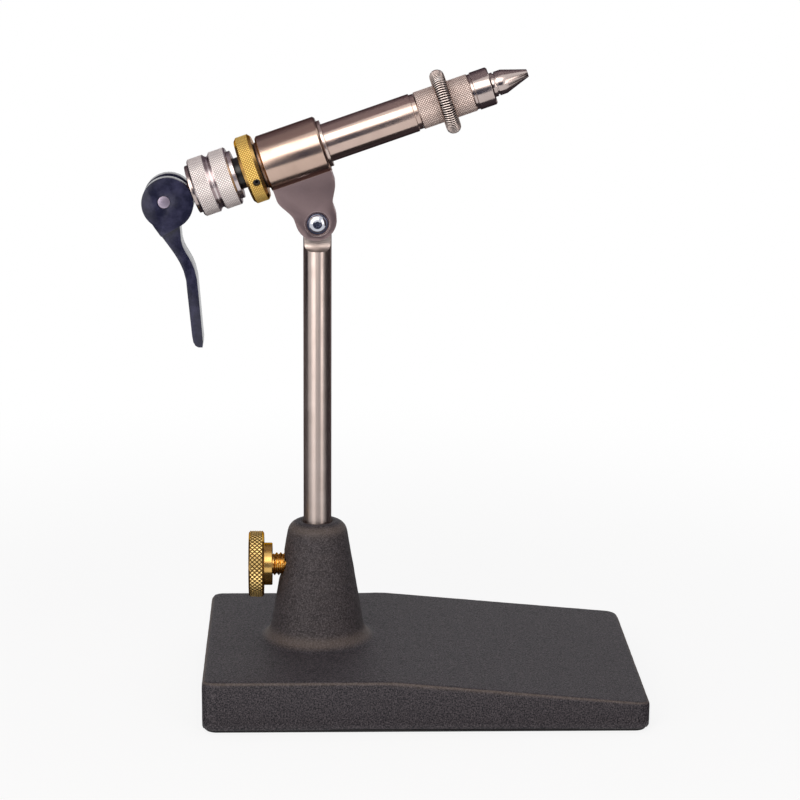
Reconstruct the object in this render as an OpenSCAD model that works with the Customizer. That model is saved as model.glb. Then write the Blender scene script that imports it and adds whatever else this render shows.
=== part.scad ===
// Fly tying vise on a pedestal base. A cam lever draws a split collet into the nose of its tilting head.
// Millimetres, +Z up. The origin lies on the stem's axis, on the underside of the base pad.
// The head's own frame has its origin on the pivot, +X along the head towards the jaws, +Z across it.

/* [Base] */
// Length of the base along X
base_w = 148.7; // [120:0.1:180]
// Depth of the base along Y
base_d = 100; // [80:1:130]
// Height of the level part of the base above the table
base_t = 17.7; // [14:0.1:24]
// Height of the low end of the base above the table
toe_t = 10.1; // [7:0.1:13]
// Distance from the high end of the base to the stem's axis
stem_inset = 38.4; // [32:0.1:45]
// Distance from the stem's axis to the start of the slope
ramp_x = 24.2; // [24:0.1:40]
// Plan radius of the base's corners
corner_r = 4.5; // [2:0.1:6]
// Rounding of the base's upper edges
edge_r = 1.8; // [1:0.1:3]
// Thickness of the non-slip pad
pad_t = 0.8; // [0.5:0.1:1.5]
// How far the pad lies inside the base's outline
pad_inset = 1.2; // [0.5:0.1:3]

/* [Boss] */
// Height of the boss's top above the table
boss_z = 59.2; // [54:0.1:66]
// Radius that the boss's side would reach at its top
boss_top_r = 9.7; // [9:0.1:12]
// Radius of the boss's side at the base's upper face
boss_foot_r = 16.8; // [14:0.1:17]
// Rounding of the boss's top edge
boss_round = 4.3; // [2:0.1:4.4]
// Fillet between the boss and the base
boss_fillet = 5.5; // [2:0.1:6]

/* [Stem] */
// Diameter of the stem
stem_d = 9.525; // [8:0.005:9.6]
// Height of the head's pivot above the table
pivot_z = 162.7; // [140:0.1:190]
// Height of the stem socket's floor above the table
socket_z = 12; // [8:0.1:13]
// Thickness of the flat tang at the stem's top
tang_t = 3.7; // [3:0.1:4]
// Distance from the pivot down to the scoops beside the tang
scoop_drop = 6.6; // [6.5:0.1:9]
// Thickness of the glide under the stem
glide_t = 2; // [1.5:0.1:3]

/* [Thumbscrew] */
// Height of the thumbscrew's axis above the table
thumb_z = 43.5; // [38:0.1:46]
// Diameter of the thumbscrew's knurled head
thumb_head_d = 22.8; // [18:0.1:26]
// Thickness of the knurled head
thumb_head_t = 5.2; // [4:0.1:7]
// Diameter of the shoulder
thumb_neck_d = 14.6; // [10:0.1:16]
// Length of the shoulder
thumb_neck_t = 2.9; // [2:0.1:4]
// Distance from the stem's axis to the shoulder
thumb_neck_x = 15.5; // [15:0.1:18]
// Diameter of the thread
thumb_d = 7.94; // [6:0.01:9]
// Thickness of the soft tip's disc
tip_t = 1.5; // [1:0.1:2]

/* [Head] */
// Angle of the head's axis above the horizontal
tilt = 19.4; // [0:0.1:30]
// Distance from the pivot to the head's axis
axis_h = 24; // [22:0.1:28]
// Diameter of the housing's barrel
barrel_d = 19.6; // [18:0.1:22]
// Length of the barrel
barrel_l = 21; // [18:0.1:26]
// Thickness of the web below the barrel
web_t = 9.5; // [9:0.1:11]
// Half the web's width where it leaves the barrel
web_half_w = 10.2; // [8.5:0.1:10.4]
// Radius of the lug round the pivot
lug_r = 6.9; // [6:0.1:7.5]
// How far the lug's centre lies above the pivot
lug_lift = 1.3; // [0.6:0.05:1.8]
// Thickness of each washer beside the tang
washer_t = 0.3; // [0.2:0.05:0.4]
// Diameter of the pivot screw's shank
screw_d = 4; // [3:0.1:4.5]
// Diameter of the pivot screw's head
screw_head_d = 7.3; // [6.5:0.1:8]
// Height of the pivot screw's head
screw_head_t = 2.2; // [1.6:0.1:2.8]

/* [Spindle] */
// Diameter of the spindle tube
tube_d = 13; // [12.8:0.1:13.6]
// Length of bare tube ahead of the housing's front flange
tube_l = 30.75; // [24:0.05:40]
// Diameter of the thread behind the housing
thread_d = 9.9; // [9.4:0.1:11]
// Diameter of the knurled sleeve
sleeve_d = 12.8; // [12.4:0.1:13.4]
// Length of the knurled sleeve
sleeve_l = 18.9; // [16:0.1:22]
// Diameter of the nose collar
nose_d = 12.9; // [12.6:0.1:14]
// Length of the nose collar
nose_l = 6.05; // [5.5:0.05:8]
// Width of the groove behind the sleeve
rear_groove_w = 1.5; // [0.6:0.1:2]
// Width of the groove between the sleeve and the nose collar
front_groove_w = 0.85; // [0.6:0.05:1.5]
// Depth of those grooves below the tube's surface
groove_h = 0.45; // [0.2:0.05:0.6]

/* [Material spring] */
// Outer diameter of the whole ring
clip_d = 22.1; // [21:0.1:24]
// Height of the ring's coil, out from the sleeve
clip_coil_d = 4.5; // [3.8:0.1:4.5]
// Width of the ring's coil along the sleeve
clip_coil_w = 5; // [3.8:0.1:5.5]
// Diameter of the wire
clip_wire_d = 0.5; // [0.4:0.05:0.5]
// Number of curls round the ring
clip_curls = 44; // [30:1:44]

/* [Tension ring] */
// Diameter of the brass ring
ring_d = 23; // [20:0.1:26]
// Thickness of the brass ring
ring_t = 5.7; // [5:0.1:8]
// Bevel of the ring's edges
ring_bevel = 0.9; // [0.4:0.1:1.5]
// Diameter of the set screw in the ring
ring_screw_d = 2.5; // [2:0.1:3]
// How far the set screw lies ahead of the ring's middle
ring_screw_ahead = 0.55; // [0:0.05:1]

/* [Adjusting knob] */
// Diameter of the knob's knurled bands
knob_d = 19.9; // [18.5:0.1:22]
// Width of the front band
band_front_w = 6.4; // [4:0.1:7.5]
// Width of the rear band
band_rear_w = 6.3; // [4:0.1:7.5]
// Width of the floor of the groove between the bands
knob_groove_w = 0.6; // [0.4:0.1:2]
// Width of each sloping side of that groove
knob_groove_slope = 0.9; // [0.4:0.1:1.2]
// Depth of that groove
knob_groove_h = 1.05; // [0.5:0.05:1.5]
// Diameter of the knob's front rim and of the thrust washer
rim_d = 16.4; // [16:0.1:17.5]
// Width of the front rim
rim_w = 1.3; // [1:0.1:2]
// Thickness of the thrust washer
thrust_t = 1.2; // [0.8:0.1:1.6]

/* [Cam lever] */
// Radius of the cam
cam_r = 8.6; // [8:0.1:9.5]
// Width of the cam across both cheeks
cam_w = 14.5; // [12:0.1:17]
// Offset of the cam's centre from the pin, along the head
cam_ahead = 0.9; // [0.6:0.05:1.1]
// Offset of the cam's centre from the pin, across the head
cam_below = 0.8; // [0.6:0.05:1.1]
// Diameter of the cam pin
pin_d = 4.2; // [3.5:0.1:4.6]
// Length of the lever from the pin to its tip
lever_l = 49.4; // [42:0.1:60]
// Width of the lever's arm
arm_w = 11; // [8:0.1:12]

/* [Drawbar and jaws] */
// Diameter of the drawbar
bar_d = 4.8; // [4:0.1:5]
// Thickness of the drawbar's eye
eye_t = 4.6; // [4:0.1:5]
// Diameter of the jaws where they leave the nose
jaw_d = 8.2; // [7.6:0.1:8.6]
// Length of the jaws outside the nose
jaw_out = 12.5; // [11:0.1:16]
// Length of the jaws' straight stretch outside the nose
jaw_straight = 4.1; // [3:0.1:5]
// Diameter of the jaws' tip
jaw_tip_d = 2.6; // [1.6:0.1:3]
// Wire diameter of the return spring
return_wire_d = 0.9; // [0.7:0.05:0.9]
// Number of curls in the return spring
return_curls = 9; // [6:1:9]

/* [Hidden] */
$fn = 96;
arc_steps = 8;

// Clearances of seated pieces, of turning or sliding fits and of faces that pass each other; the cuts' overrun
seat_gap = 0.02;
run_gap = 0.05;
free_gap = 0.3;
over = 1;

stem_r = stem_d / 2;
socket_r = stem_r + run_gap;
boss_side = (boss_foot_r - boss_top_r) / (boss_z - base_t);
stem_foot_z = socket_z + glide_t + 2 * free_gap;
glide_pin_r = 1.5;
glide_pin_l = 3;

thumb_r = thumb_d / 2;
tip_x = stem_r + free_gap / 2;
tip_pin_r = 1.5;
tip_pin_l = 2.5;
thumb_end_x = tip_x + tip_t + free_gap / 2;
thumb_edge = 0.6;

slot_half = tang_t / 2 + washer_t + 2 * run_gap;
scoop_r = stem_r - tang_t / 2;
slot_room = 2;
slot_top = stem_r + slot_room;
screw_r = screw_d / 2;
counterbore_room = 0.55;
counterbore_r = screw_head_d / 2 + counterbore_room;
counterbore_h = 1.3;
hex_r = 1.25;

barrel_r = barrel_d / 2;
tube_r = tube_d / 2;
thread_r = thread_d / 2;
bush_wall = 1.05;
bush_bore_r = tube_r + run_gap;
bush_r = bush_bore_r + bush_wall;
bush_l = 7.7;
flange_h = 0.35;
flange_r = bush_r + flange_h;
rear_flange_t = 0.7;
front_flange_t = 1.15;
barrel_chamfer = 0.6;

// Places along the head, from the housing's rear face backwards
rear_flange_u = -barrel_l / 2 - seat_gap - rear_flange_t;
friction_t = 0.35;
friction_u = rear_flange_u - run_gap - friction_t;
ring_front_u = friction_u - run_gap;
ring_rear_u = ring_front_u - ring_t;
seal_t = 3;
seal_wall = 0.4;
seal_r = thread_r + seal_wall;
seal_front_u = ring_rear_u - free_gap;
knob_travel = 0.8;
knob_room = 1.6;
rim_front_u = ring_rear_u - knob_travel - knob_room;
band_front_u = rim_front_u - rim_w;
groove_front_u = band_front_u - band_front_w;
groove_rear_u = groove_front_u - knob_groove_w;
knob_rear_u = groove_rear_u - band_rear_w;
thrust_front_u = knob_rear_u - free_gap / 2;
thrust_rear_u = thrust_front_u - thrust_t;
cam_gap = 0.15;
pin_u = thrust_rear_u - cam_gap - cam_r - cam_ahead;
knob_cup_u = seal_front_u - seal_t - knob_travel - free_gap;
knob_wall = 0.7;
spigot_r = 4;
tube_rear_u = knob_rear_u + knob_wall + knob_travel + free_gap;

// Places along the head, from the housing's front face forwards
front_flange_u = barrel_l / 2 + seat_gap;
tube_front_u = front_flange_u + front_flange_t + tube_l;
sleeve_u = tube_front_u + rear_groove_w;
sleeve_end_u = sleeve_u + sleeve_l;
nose_u = sleeve_end_u + front_groove_w;
nose_end_u = nose_u + nose_l;
jaw_tip_u = nose_end_u + jaw_out;
clip_u = sleeve_u + sleeve_l / 2;
sleeve_r = sleeve_d / 2;
neck_r = tube_r - groove_h;
core_r = 5;
core_l = 14.4;
chamber_r = 4.3;

// The drawbar's guides and stops
bar_r = bar_d / 2;
pin_r = pin_d / 2;
eye_r = 4;
eye_l = 7;
fork_half = eye_t / 2 + free_gap;
guide_l = 5;
relief_h = 0.7;
relief_r = bar_r + relief_h;
chamber_ahead = 9.25;
chamber_u = barrel_l / 2 + chamber_ahead;
spring_room = 15.5;
collar_u = chamber_u + spring_room;
collar_t = 2;
socket_head_ahead = 6.5;
socket_head_u = sleeve_u + socket_head_ahead;
socket_head_l = 6;
socket_wall = 1.2;
socket_depth = 4.2;
return_coil_r = 3.4;

// The jaws behind the nose's mouth
jaw_r = jaw_d / 2;
tail_r = 2.4;
tail_l = 3.8;
heel_r = 2.6;
tail_u = socket_head_u + socket_head_l - tail_l;
mouth_slope = 0.22;
jaw_taper_l = 5.9;
throat_step = 1.1;
jaw_taper_r = jaw_r - mouth_slope * jaw_taper_l;
mouth_gap = 0.15;
parting = 0.05;
jaw_ring_w = 0.9;
jaw_groove_w = 0.5;
jaw_groove_h = 0.5;
pocket_behind = 3;
pocket_u = nose_end_u - pocket_behind;
pocket_r = 0.85;
pocket_h = 0.8;
spreader_wire_d = 0.3;
spreader_curls = 3;

// Lever arm: where it leaves the cam, its bend and its foot, as shares of the lever's length
arm_back_shares = [[-0.12, -0.09], [0.03, -0.33], [0.143, -0.4], [0.147, -0.61]];
arm_front_shares = [[0.106, -0.21], [0.104, -0.38], [0.21, -0.35], [0.222, -0.615]];
arm_foot_shares = [
  [0.177, -0.923], [0.185, -0.964], [0.2, -0.99], [0.221, -1], [0.247, -1], [0.25, -0.962]
];
// The cheeks end on a slanting line, this far from the pin and at this angle
cheek_l = 9.5;
cheek_slant = 30;

steel = "#b4aeae";
bright_steel = "#c9c6c8";
brass = "#cf9d3a";
black = "#20242c";
coat = "#3a3b3f";
nylon = "#e6e2d6";

// Points on an arc from angle a to angle b
function arc(c, r, a, b) = [
  for (i = [0:arc_steps]) let (t = a + (b - a) * i / arc_steps) c + r * [cos(t), sin(t)]
];

// Points on a cubic curve through p[0] and p[3], drawn towards p[1] and p[2]
function curve(p) = [
  for (i = [0:arc_steps]) let (t = i / arc_steps, s = 1 - t)
    s * s * s * p[0] + 3 * s * s * t * p[1] + 3 * s * t * t * p[2] + t * t * t * p[3]
];

function unit(v) = v / norm(v);

wire_sides = 6;
wire_rings_per_curl = 8;

// Points of wire round each centre, square to the way it runs; a hub is the coil's middle beside a centre
function wire_rings(centres, hubs, r, closed) = let (n = len(centres)) [
  for (i = [0:n - 1])
    let (
      before = centres[closed ? (i + n - 1) % n : max(i - 1, 0)],
      after = centres[closed ? (i + 1) % n : min(i + 1, n - 1)],
      along = unit(after - before),
      side = unit(cross(along, centres[i] - hubs[i])),
      out = cross(side, along)
    )
      for (k = [0:wire_sides - 1])
        let (a = 360 * k / wire_sides) centres[i] + r * (cos(a) * side + sin(a) * out)
];

function wire_faces(n, closed) = [
  for (i = [0:(closed ? n - 1 : n - 2)], k = [0:wire_sides - 1])
    let (j = (i + 1) % n, m = (k + 1) % wire_sides)
      for (f = [[i * wire_sides + k, j * wire_sides + m, j * wire_sides + k],
                [i * wire_sides + k, i * wire_sides + m, j * wire_sides + m]]) f
];

function wire_caps(n) = let (last = (n - 1) * wire_sides) [
  for (k = [1:wire_sides - 2], f = [[0, k + 1, k], [last, last + k, last + k + 1]]) f
];

// Least distance between stretches of one wire that lie half a curl or more apart along it
function least_gap(c, d) = min([
  for (i = [0:len(c) - 1], j = [i + wire_rings_per_curl / 2:1:min(i + 2 * wire_rings_per_curl, len(c) - 1)])
    norm(c[i] - c[j]) - d
]);

// Centres and hubs of a straight coil along Z, and of a coil bent round a ring
function coil_centres(r, l, curls) = [
  for (i = [0:curls * wire_rings_per_curl])
    let (a = 360 * i / wire_rings_per_curl) [r * cos(a), r * sin(a), l * i / (curls * wire_rings_per_curl)]
];
function ring_centres(ring_r, coil_r, half_w, curls) = [
  for (i = [0:curls * wire_rings_per_curl - 1])
    let (a = 360 * i / wire_rings_per_curl, b = a / curls, r = ring_r + coil_r * cos(a))
      [r * cos(b), r * sin(b), half_w * sin(a)]
];
function coil_hubs(centres) = [for (c = centres) [0, 0, c[2]]];
function ring_hubs(centres, ring_r) = [for (c = centres) ring_r * unit([c[0], c[1], 0])];

module wire(centres, hubs, d, closed) {
  n = len(centres);
  polyhedron(
    points = wire_rings(centres, hubs, d / 2, closed),
    faces = concat(wire_faces(n, closed), closed ? [] : wire_caps(n))
  );
}

module in_head() {
  translate([0, 0, pivot_z]) rotate([0, -tilt, 0]) children();
}

// Lays a piece that is drawn along Z on the head's axis, from place u
module on_axis(u = 0) {
  in_head() translate([u, 0, axis_h]) rotate([0, 90, 0]) children();
}

// A turned ring or disc on the head's axis, from u0 to u1
module turned(u0, u1, r, bore = 0, bevel = 0) {
  on_axis(u0) rotate_extrude() polygon([
    [bore, 0], [r - bevel, 0], [r, bevel], [r, u1 - u0 - bevel], [r - bevel, u1 - u0], [bore, u1 - u0]
  ]);
}

module base_plan(inset) {
  r = corner_r - inset / 2;
  low = [-stem_inset + inset + r, -base_d / 2 + inset + r];
  high = [base_w - stem_inset - inset - r, base_d / 2 - inset - r];
  polygon(concat(
    arc(low, r, 180, 270), arc([high[0], low[1]], r, 270, 360),
    arc(high, r, 0, 90), arc([low[0], high[1]], r, 90, 180)
  ));
}

module base_side() {
  left = -stem_inset;
  right = base_w - stem_inset;
  polygon(concat(
    [[right, pad_t]], arc([right - edge_r, toe_t - edge_r], edge_r, 0, 90), [[ramp_x, base_t]],
    arc([left + edge_r, base_t - edge_r], edge_r, 90, 180), [[left, pad_t]]
  ));
}

module boss_profile() {
  side_a = atan(boss_side);
  // The rounding and the fillet are tangent to the sloping side
  round_x = boss_top_r + boss_round * (boss_side - 1 / cos(side_a));
  fillet_x = boss_foot_r - boss_fillet * (boss_side - 1 / cos(side_a));
  polygon(concat(
    [[0, pad_t], [fillet_x, pad_t]],
    arc([fillet_x, base_t + boss_fillet], boss_fillet, 270, 180 + side_a),
    arc([round_x, boss_z - boss_round], boss_round, side_a, 90),
    [[0, boss_z]]
  ));
}

module base_casting() {
  color(coat) difference() {
    union() {
      intersection() {
        linear_extrude(base_t) base_plan(0);
        translate([0, base_d / 2, 0]) rotate([90, 0, 0]) linear_extrude(base_d) base_side();
      }
      rotate_extrude() boss_profile();
    }
    translate([0, 0, socket_z]) cylinder(r = socket_r, h = boss_z);
    translate([0, 0, thumb_z]) rotate([0, -90, 0]) cylinder(r = thumb_r + run_gap, h = stem_inset);
  }
}

module base_pad() {
  color("#17181a") linear_extrude(pad_t) base_plan(pad_inset);
}

// Turned pieces on the thumbscrew's axis, from x0 outwards to x1
module on_thumb_axis(x0) {
  translate([-x0, 0, thumb_z]) rotate([0, -90, 0]) children();
}

module thumbscrew() {
  head_x = thumb_neck_x + thumb_neck_t;
  head_r = thumb_head_d / 2;
  color(brass) difference() {
    union() {
      on_thumb_axis(thumb_end_x) cylinder(r = thumb_r, h = thumb_neck_x - thumb_end_x + over);
      on_thumb_axis(thumb_neck_x) cylinder(d = thumb_neck_d, h = thumb_neck_t + over);
      on_thumb_axis(head_x) rotate_extrude() polygon([
        [0, 0], [head_r - thumb_edge, 0], [head_r, thumb_edge],
        [head_r, thumb_head_t - thumb_edge], [head_r - thumb_edge, thumb_head_t], [0, thumb_head_t]
      ]);
    }
    on_thumb_axis(thumb_end_x - over) cylinder(r = tip_pin_r + run_gap, h = tip_pin_l + over + free_gap);
  }
}

module screw_tip() {
  color(nylon) {
    on_thumb_axis(tip_x) cylinder(r = thumb_r, h = tip_t);
    on_thumb_axis(tip_x) cylinder(r = tip_pin_r, h = tip_t + free_gap / 2 + tip_pin_l);
  }
}

module stem_glide() {
  color(nylon) translate([0, 0, socket_z + free_gap]) {
    cylinder(r = stem_r - run_gap, h = glide_t);
    cylinder(r = glide_pin_r, h = glide_t + glide_pin_l);
  }
}

module stem() {
  color(steel) difference() {
    union() {
      translate([0, 0, stem_foot_z]) cylinder(r = stem_r, h = pivot_z - stem_foot_z);
      translate([0, stem_r, pivot_z]) rotate([90, 0, 0]) cylinder(r = stem_r, h = stem_d);
    }
    for (side = [-1, 1]) {
      translate([-stem_d, side > 0 ? tang_t / 2 : -tang_t / 2 - stem_d, pivot_z - scoop_drop])
        cube([2 * stem_d, stem_d, stem_d + scoop_drop]);
      translate([-stem_d, side * (tang_t / 2 + scoop_r), pivot_z - scoop_drop])
        rotate([0, 90, 0]) cylinder(r = scoop_r, h = 2 * stem_d);
    }
    translate([0, stem_d, pivot_z]) rotate([90, 0, 0]) cylinder(r = screw_r + run_gap, h = 2 * stem_d);
    translate([0, 0, stem_foot_z - over])
      cylinder(r = glide_pin_r + run_gap, h = glide_pin_l + over + free_gap);
  }
}

// The web's side swings from the lug out to the full width and then runs straight up to the barrel
web_straight = 2.3;
web_waist_rise = 2.3;
web_waist_v = lug_lift + web_waist_rise;
web_full_v = axis_h - barrel_r - web_straight;

module web_outline() {
  side = [
    for (i = [0:2 * arc_steps])
      let (t = i / (2 * arc_steps), swing = t * t * (3 - 2 * t))
        [lug_r + (web_half_w - lug_r) * swing, web_waist_v + (web_full_v - web_waist_v) * t]
  ];
  polygon(concat(
    [for (i = [0:len(side) - 1]) let (p = side[len(side) - 1 - i]) [-p[0], p[1]]],
    [for (i = [0:2 * arc_steps]) let (a = 180 + 180 * i / (2 * arc_steps))
      [lug_r * cos(a), lug_lift + lug_r * sin(a)]],
    side,
    [[web_half_w, axis_h], [-web_half_w, axis_h]]
  ));
}

module head_housing() {
  color(steel) difference() {
    union() {
      turned(-barrel_l / 2, barrel_l / 2, barrel_r, 0, barrel_chamfer);
      in_head() translate([0, web_t / 2, 0]) rotate([90, 0, 0]) linear_extrude(web_t) web_outline();
    }
    on_axis(-barrel_l) cylinder(r = bush_r + seat_gap, h = 2 * barrel_l);
    in_head() {
      translate([-barrel_l, -slot_half, -lug_r - over])
        cube([2 * barrel_l, 2 * slot_half, slot_top + lug_r + over]);
      translate([0, web_t, 0]) rotate([90, 0, 0]) cylinder(r = screw_r + seat_gap, h = 2 * web_t);
      translate([0, counterbore_h - web_t / 2, 0]) rotate([90, 0, 0]) cylinder(r = counterbore_r, h = web_t);
    }
  }
}

module rear_bushing() {
  color("#8d7a66") union() {
    turned(rear_flange_u, rear_flange_u + rear_flange_t, flange_r, bush_bore_r);
    turned(rear_flange_u + rear_flange_t / 2, bush_l - barrel_l / 2, bush_r, bush_bore_r);
  }
}

module front_bushing() {
  color("#8d7a66") union() {
    turned(front_flange_u, front_flange_u + front_flange_t, flange_r, bush_bore_r);
    turned(barrel_l / 2 - bush_l, front_flange_u + front_flange_t / 2, bush_r, bush_bore_r);
  }
}

module pivot_screw() {
  head_y = web_t / 2 - counterbore_h;
  dome_r = screw_head_d / 2;
  rim_share = 0.35;
  color(bright_steel) in_head() rotate([90, 0, 0]) difference() {
    union() {
      translate([0, 0, -web_t / 2]) cylinder(r = screw_r, h = web_t / 2 + head_y + seat_gap + over);
      translate([0, 0, head_y + seat_gap]) rotate_extrude() polygon(concat(
        [[0, 0], [dome_r, 0]],
        [for (i = [0:arc_steps - 1]) let (a = 90 * i / arc_steps)
          [dome_r * cos(a), screw_head_t * (rim_share + (1 - rim_share) * sin(a))]],
        [[0, screw_head_t]]
      ));
    }
    translate([0, 0, head_y + screw_head_t / 3]) cylinder(r = hex_r, h = screw_head_t, $fn = 6);
  }
}

module pivot_washers() {
  color(nylon) in_head() for (side = [-1, 1])
    translate([0, side * (tang_t / 2 + run_gap + washer_t / 2), 0]) rotate([90, 0, 0])
      difference() {
        cylinder(r = stem_r - run_gap, h = washer_t, center = true);
        cylinder(r = screw_r + run_gap, h = washer_t + over, center = true);
      }
}

module spindle_tube() {
  color(steel) on_axis() rotate_extrude() polygon([
    [bar_r + run_gap, tube_rear_u], [thread_r, tube_rear_u], [thread_r, rear_flange_u],
    [tube_r, rear_flange_u], [tube_r, tube_front_u], [neck_r, tube_front_u], [neck_r, sleeve_u - seat_gap],
    [core_r, sleeve_u - seat_gap], [core_r, sleeve_u + core_l], [chamber_r, sleeve_u + core_l],
    [chamber_r, chamber_u], [relief_r, chamber_u], [relief_r, tube_rear_u + guide_l],
    [bar_r + run_gap, tube_rear_u + guide_l]
  ]);
}

module knurled_sleeve() {
  color("#bdb4ad") turned(sleeve_u, sleeve_end_u, sleeve_r, core_r + seat_gap, groove_h / 2);
}

module nose_collar() {
  mouth_r = jaw_r + mouth_gap;
  spigot_u = sleeve_u + core_l + free_gap;
  throat_u = nose_end_u - jaw_taper_l;
  color(bright_steel) on_axis() rotate_extrude() polygon([
    [chamber_r, spigot_u], [core_r, spigot_u],
    [core_r, sleeve_end_u + seat_gap], [neck_r, sleeve_end_u + seat_gap],
    [neck_r, nose_u], [nose_d / 2 - groove_h / 2, nose_u], [nose_d / 2, nose_u + groove_h / 2],
    [nose_d / 2, nose_end_u - groove_h], [nose_d / 2 - groove_h, nose_end_u],
    [mouth_r, nose_end_u], [mouth_r - mouth_slope * jaw_taper_l, throat_u],
    [chamber_r - groove_h, throat_u - groove_h], [chamber_r, throat_u - throat_step]
  ]);
}

module material_spring() {
  ring_r = (clip_d - clip_coil_d) / 2;
  half_h = (clip_coil_d - clip_wire_d) / 2;
  centres = ring_centres(ring_r, half_h, (clip_coil_w - clip_wire_d) / 2, clip_curls);
  gap = least_gap(concat(centres, centres), clip_wire_d);
  echo(str("material_spring least gap between curls, mm: ", gap));
  color(bright_steel) on_axis(clip_u) wire(centres, ring_hubs(centres, ring_r), clip_wire_d, true);
}

module friction_washer() {
  color(black) turned(friction_u, friction_u + friction_t, bush_r, thread_r + run_gap);
}

module neck_seal() {
  color(black) turned(seal_front_u - seal_t, seal_front_u, seal_r, thread_r + seat_gap, free_gap);
}

// Holds what it is given at the set screw's place: on the near side, a little below the head's axis
module at_ring_screw() {
  dip = 18;
  in_head() translate([(ring_front_u + ring_rear_u) / 2 + ring_screw_ahead, 0, axis_h])
    rotate([90 + dip, 0, 0]) children();
}

module tension_ring() {
  color(brass) difference() {
    turned(ring_rear_u, ring_front_u, ring_d / 2, thread_r + run_gap, ring_bevel);
    at_ring_screw() cylinder(d = ring_screw_d + 2 * seat_gap, h = ring_d);
  }
}

module ring_screw() {
  screw_top = ring_d / 2 - ring_bevel;
  color(black) at_ring_screw() difference() {
    translate([0, 0, thread_r + free_gap]) cylinder(d = ring_screw_d, h = screw_top - thread_r - free_gap);
    translate([0, 0, screw_top - hex_r]) cylinder(r = ring_screw_d / 4, h = ring_d, $fn = 6);
  }
}

module thrust_washer() {
  color(bright_steel) turned(thrust_rear_u, thrust_front_u, rim_d / 2, spigot_r + run_gap, free_gap);
}

module adjusting_knob() {
  edge = 0.5;
  r = knob_d / 2;
  groove_r = r - knob_groove_h;
  color("#c8bcc0") on_axis() rotate_extrude() polygon([
    [bar_r + run_gap, thrust_rear_u + free_gap], [spigot_r, thrust_rear_u + free_gap],
    [spigot_r, knob_rear_u], [r - edge, knob_rear_u], [r, knob_rear_u + edge],
    [r, groove_rear_u - knob_groove_slope], [groove_r, groove_rear_u], [groove_r, groove_front_u],
    [r, groove_front_u + knob_groove_slope], [r, band_front_u - edge], [r - edge, band_front_u],
    [rim_d / 2, band_front_u], [rim_d / 2, rim_front_u], [seal_r + free_gap, rim_front_u],
    [seal_r + free_gap, knob_cup_u], [thread_r + run_gap, knob_cup_u],
    [thread_r + run_gap, knob_rear_u + knob_wall], [bar_r + run_gap, knob_rear_u + knob_wall]
  ]);
}

module drawbar() {
  head_end_u = socket_head_u + socket_head_l;
  head_r = chamber_r - run_gap;
  color(steel) difference() {
    union() {
      on_axis() rotate_extrude() polygon([
        [0, pin_u + eye_l - bar_r], [bar_r, pin_u + eye_l], [bar_r, collar_u], [head_r, collar_u],
        [head_r, collar_u + collar_t], [bar_r, collar_u + collar_t], [bar_r, socket_head_u],
        [tail_r + socket_wall, socket_head_u], [tail_r + socket_wall, head_end_u],
        [tail_r + free_gap, head_end_u], [tail_r + free_gap, head_end_u - socket_depth],
        [0, head_end_u - socket_depth]
      ]);
      in_head() translate([pin_u, 0, axis_h]) {
        rotate([90, 0, 0]) cylinder(r = eye_r, h = eye_t, center = true);
        translate([0, -eye_t / 2, -bar_r]) cube([eye_l, eye_t, bar_d]);
      }
    }
    in_head() translate([pin_u, 0, axis_h]) rotate([90, 0, 0])
      cylinder(r = pin_r + seat_gap, h = eye_t + over, center = true);
  }
}

module cam_pin() {
  color(bright_steel) in_head() translate([pin_u, 0, axis_h]) rotate([90, 0, 0])
    cylinder(r = pin_r, h = cam_w, center = true);
}

module return_spring() {
  l = spring_room - return_wire_d - 2 * free_gap;
  centres = coil_centres(return_coil_r, l, return_curls);
  echo(str("return_spring least gap between curls, mm: ", least_gap(centres, return_wire_d)));
  color(bright_steel) on_axis(chamber_u + free_gap + return_wire_d / 2)
    wire(centres, coil_hubs(centres), return_wire_d, false);
}

// The closed lever hangs below the pin, so it is drawn upright and not in the head's frame
module arm_outline() {
  back = curve([for (p = arm_back_shares) lever_l * p]);
  front = curve([for (p = arm_front_shares) lever_l * p]);
  foot = [for (p = arm_foot_shares) lever_l * p];
  polygon(concat(
    [[0, 0]], back, foot,
    [for (i = [0:len(front) - 1]) front[len(front) - 1 - i]], [[cam_r / 2, 0]]
  ));
}

module at_pin() {
  translate([0, 0, pivot_z])
    translate([pin_u * cos(tilt) - axis_h * sin(tilt), 0, pin_u * sin(tilt) + axis_h * cos(tilt)])
      rotate([90, 0, 0]) children();
}

module cam_lever() {
  centre = [
    cam_ahead * cos(tilt) + cam_below * sin(tilt),
    cam_ahead * sin(tilt) - cam_below * cos(tilt)
  ];
  slot_floor = -eye_r - 2 * free_gap;
  color(black) at_pin() difference() {
    union() {
      translate([centre[0], centre[1], -cam_w / 2]) cylinder(r = cam_r, h = cam_w);
      intersection() {
        translate([0, 0, -cam_w / 2]) linear_extrude(cam_w) arm_outline();
        union() {
          rotate(cheek_slant) translate([-lever_l, -cheek_l, -cam_w / 2]) cube([2 * lever_l, lever_l, cam_w]);
          translate([-lever_l, -lever_l - over, -arm_w / 2]) cube([2 * lever_l, 2 * lever_l, arm_w]);
        }
      }
    }
    translate([-lever_l, slot_floor, -fork_half]) cube([2 * lever_l, lever_l, 2 * fork_half]);
    translate([0, 0, -cam_w]) cylinder(r = pin_r + run_gap, h = 2 * cam_w);
  }
}

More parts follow.
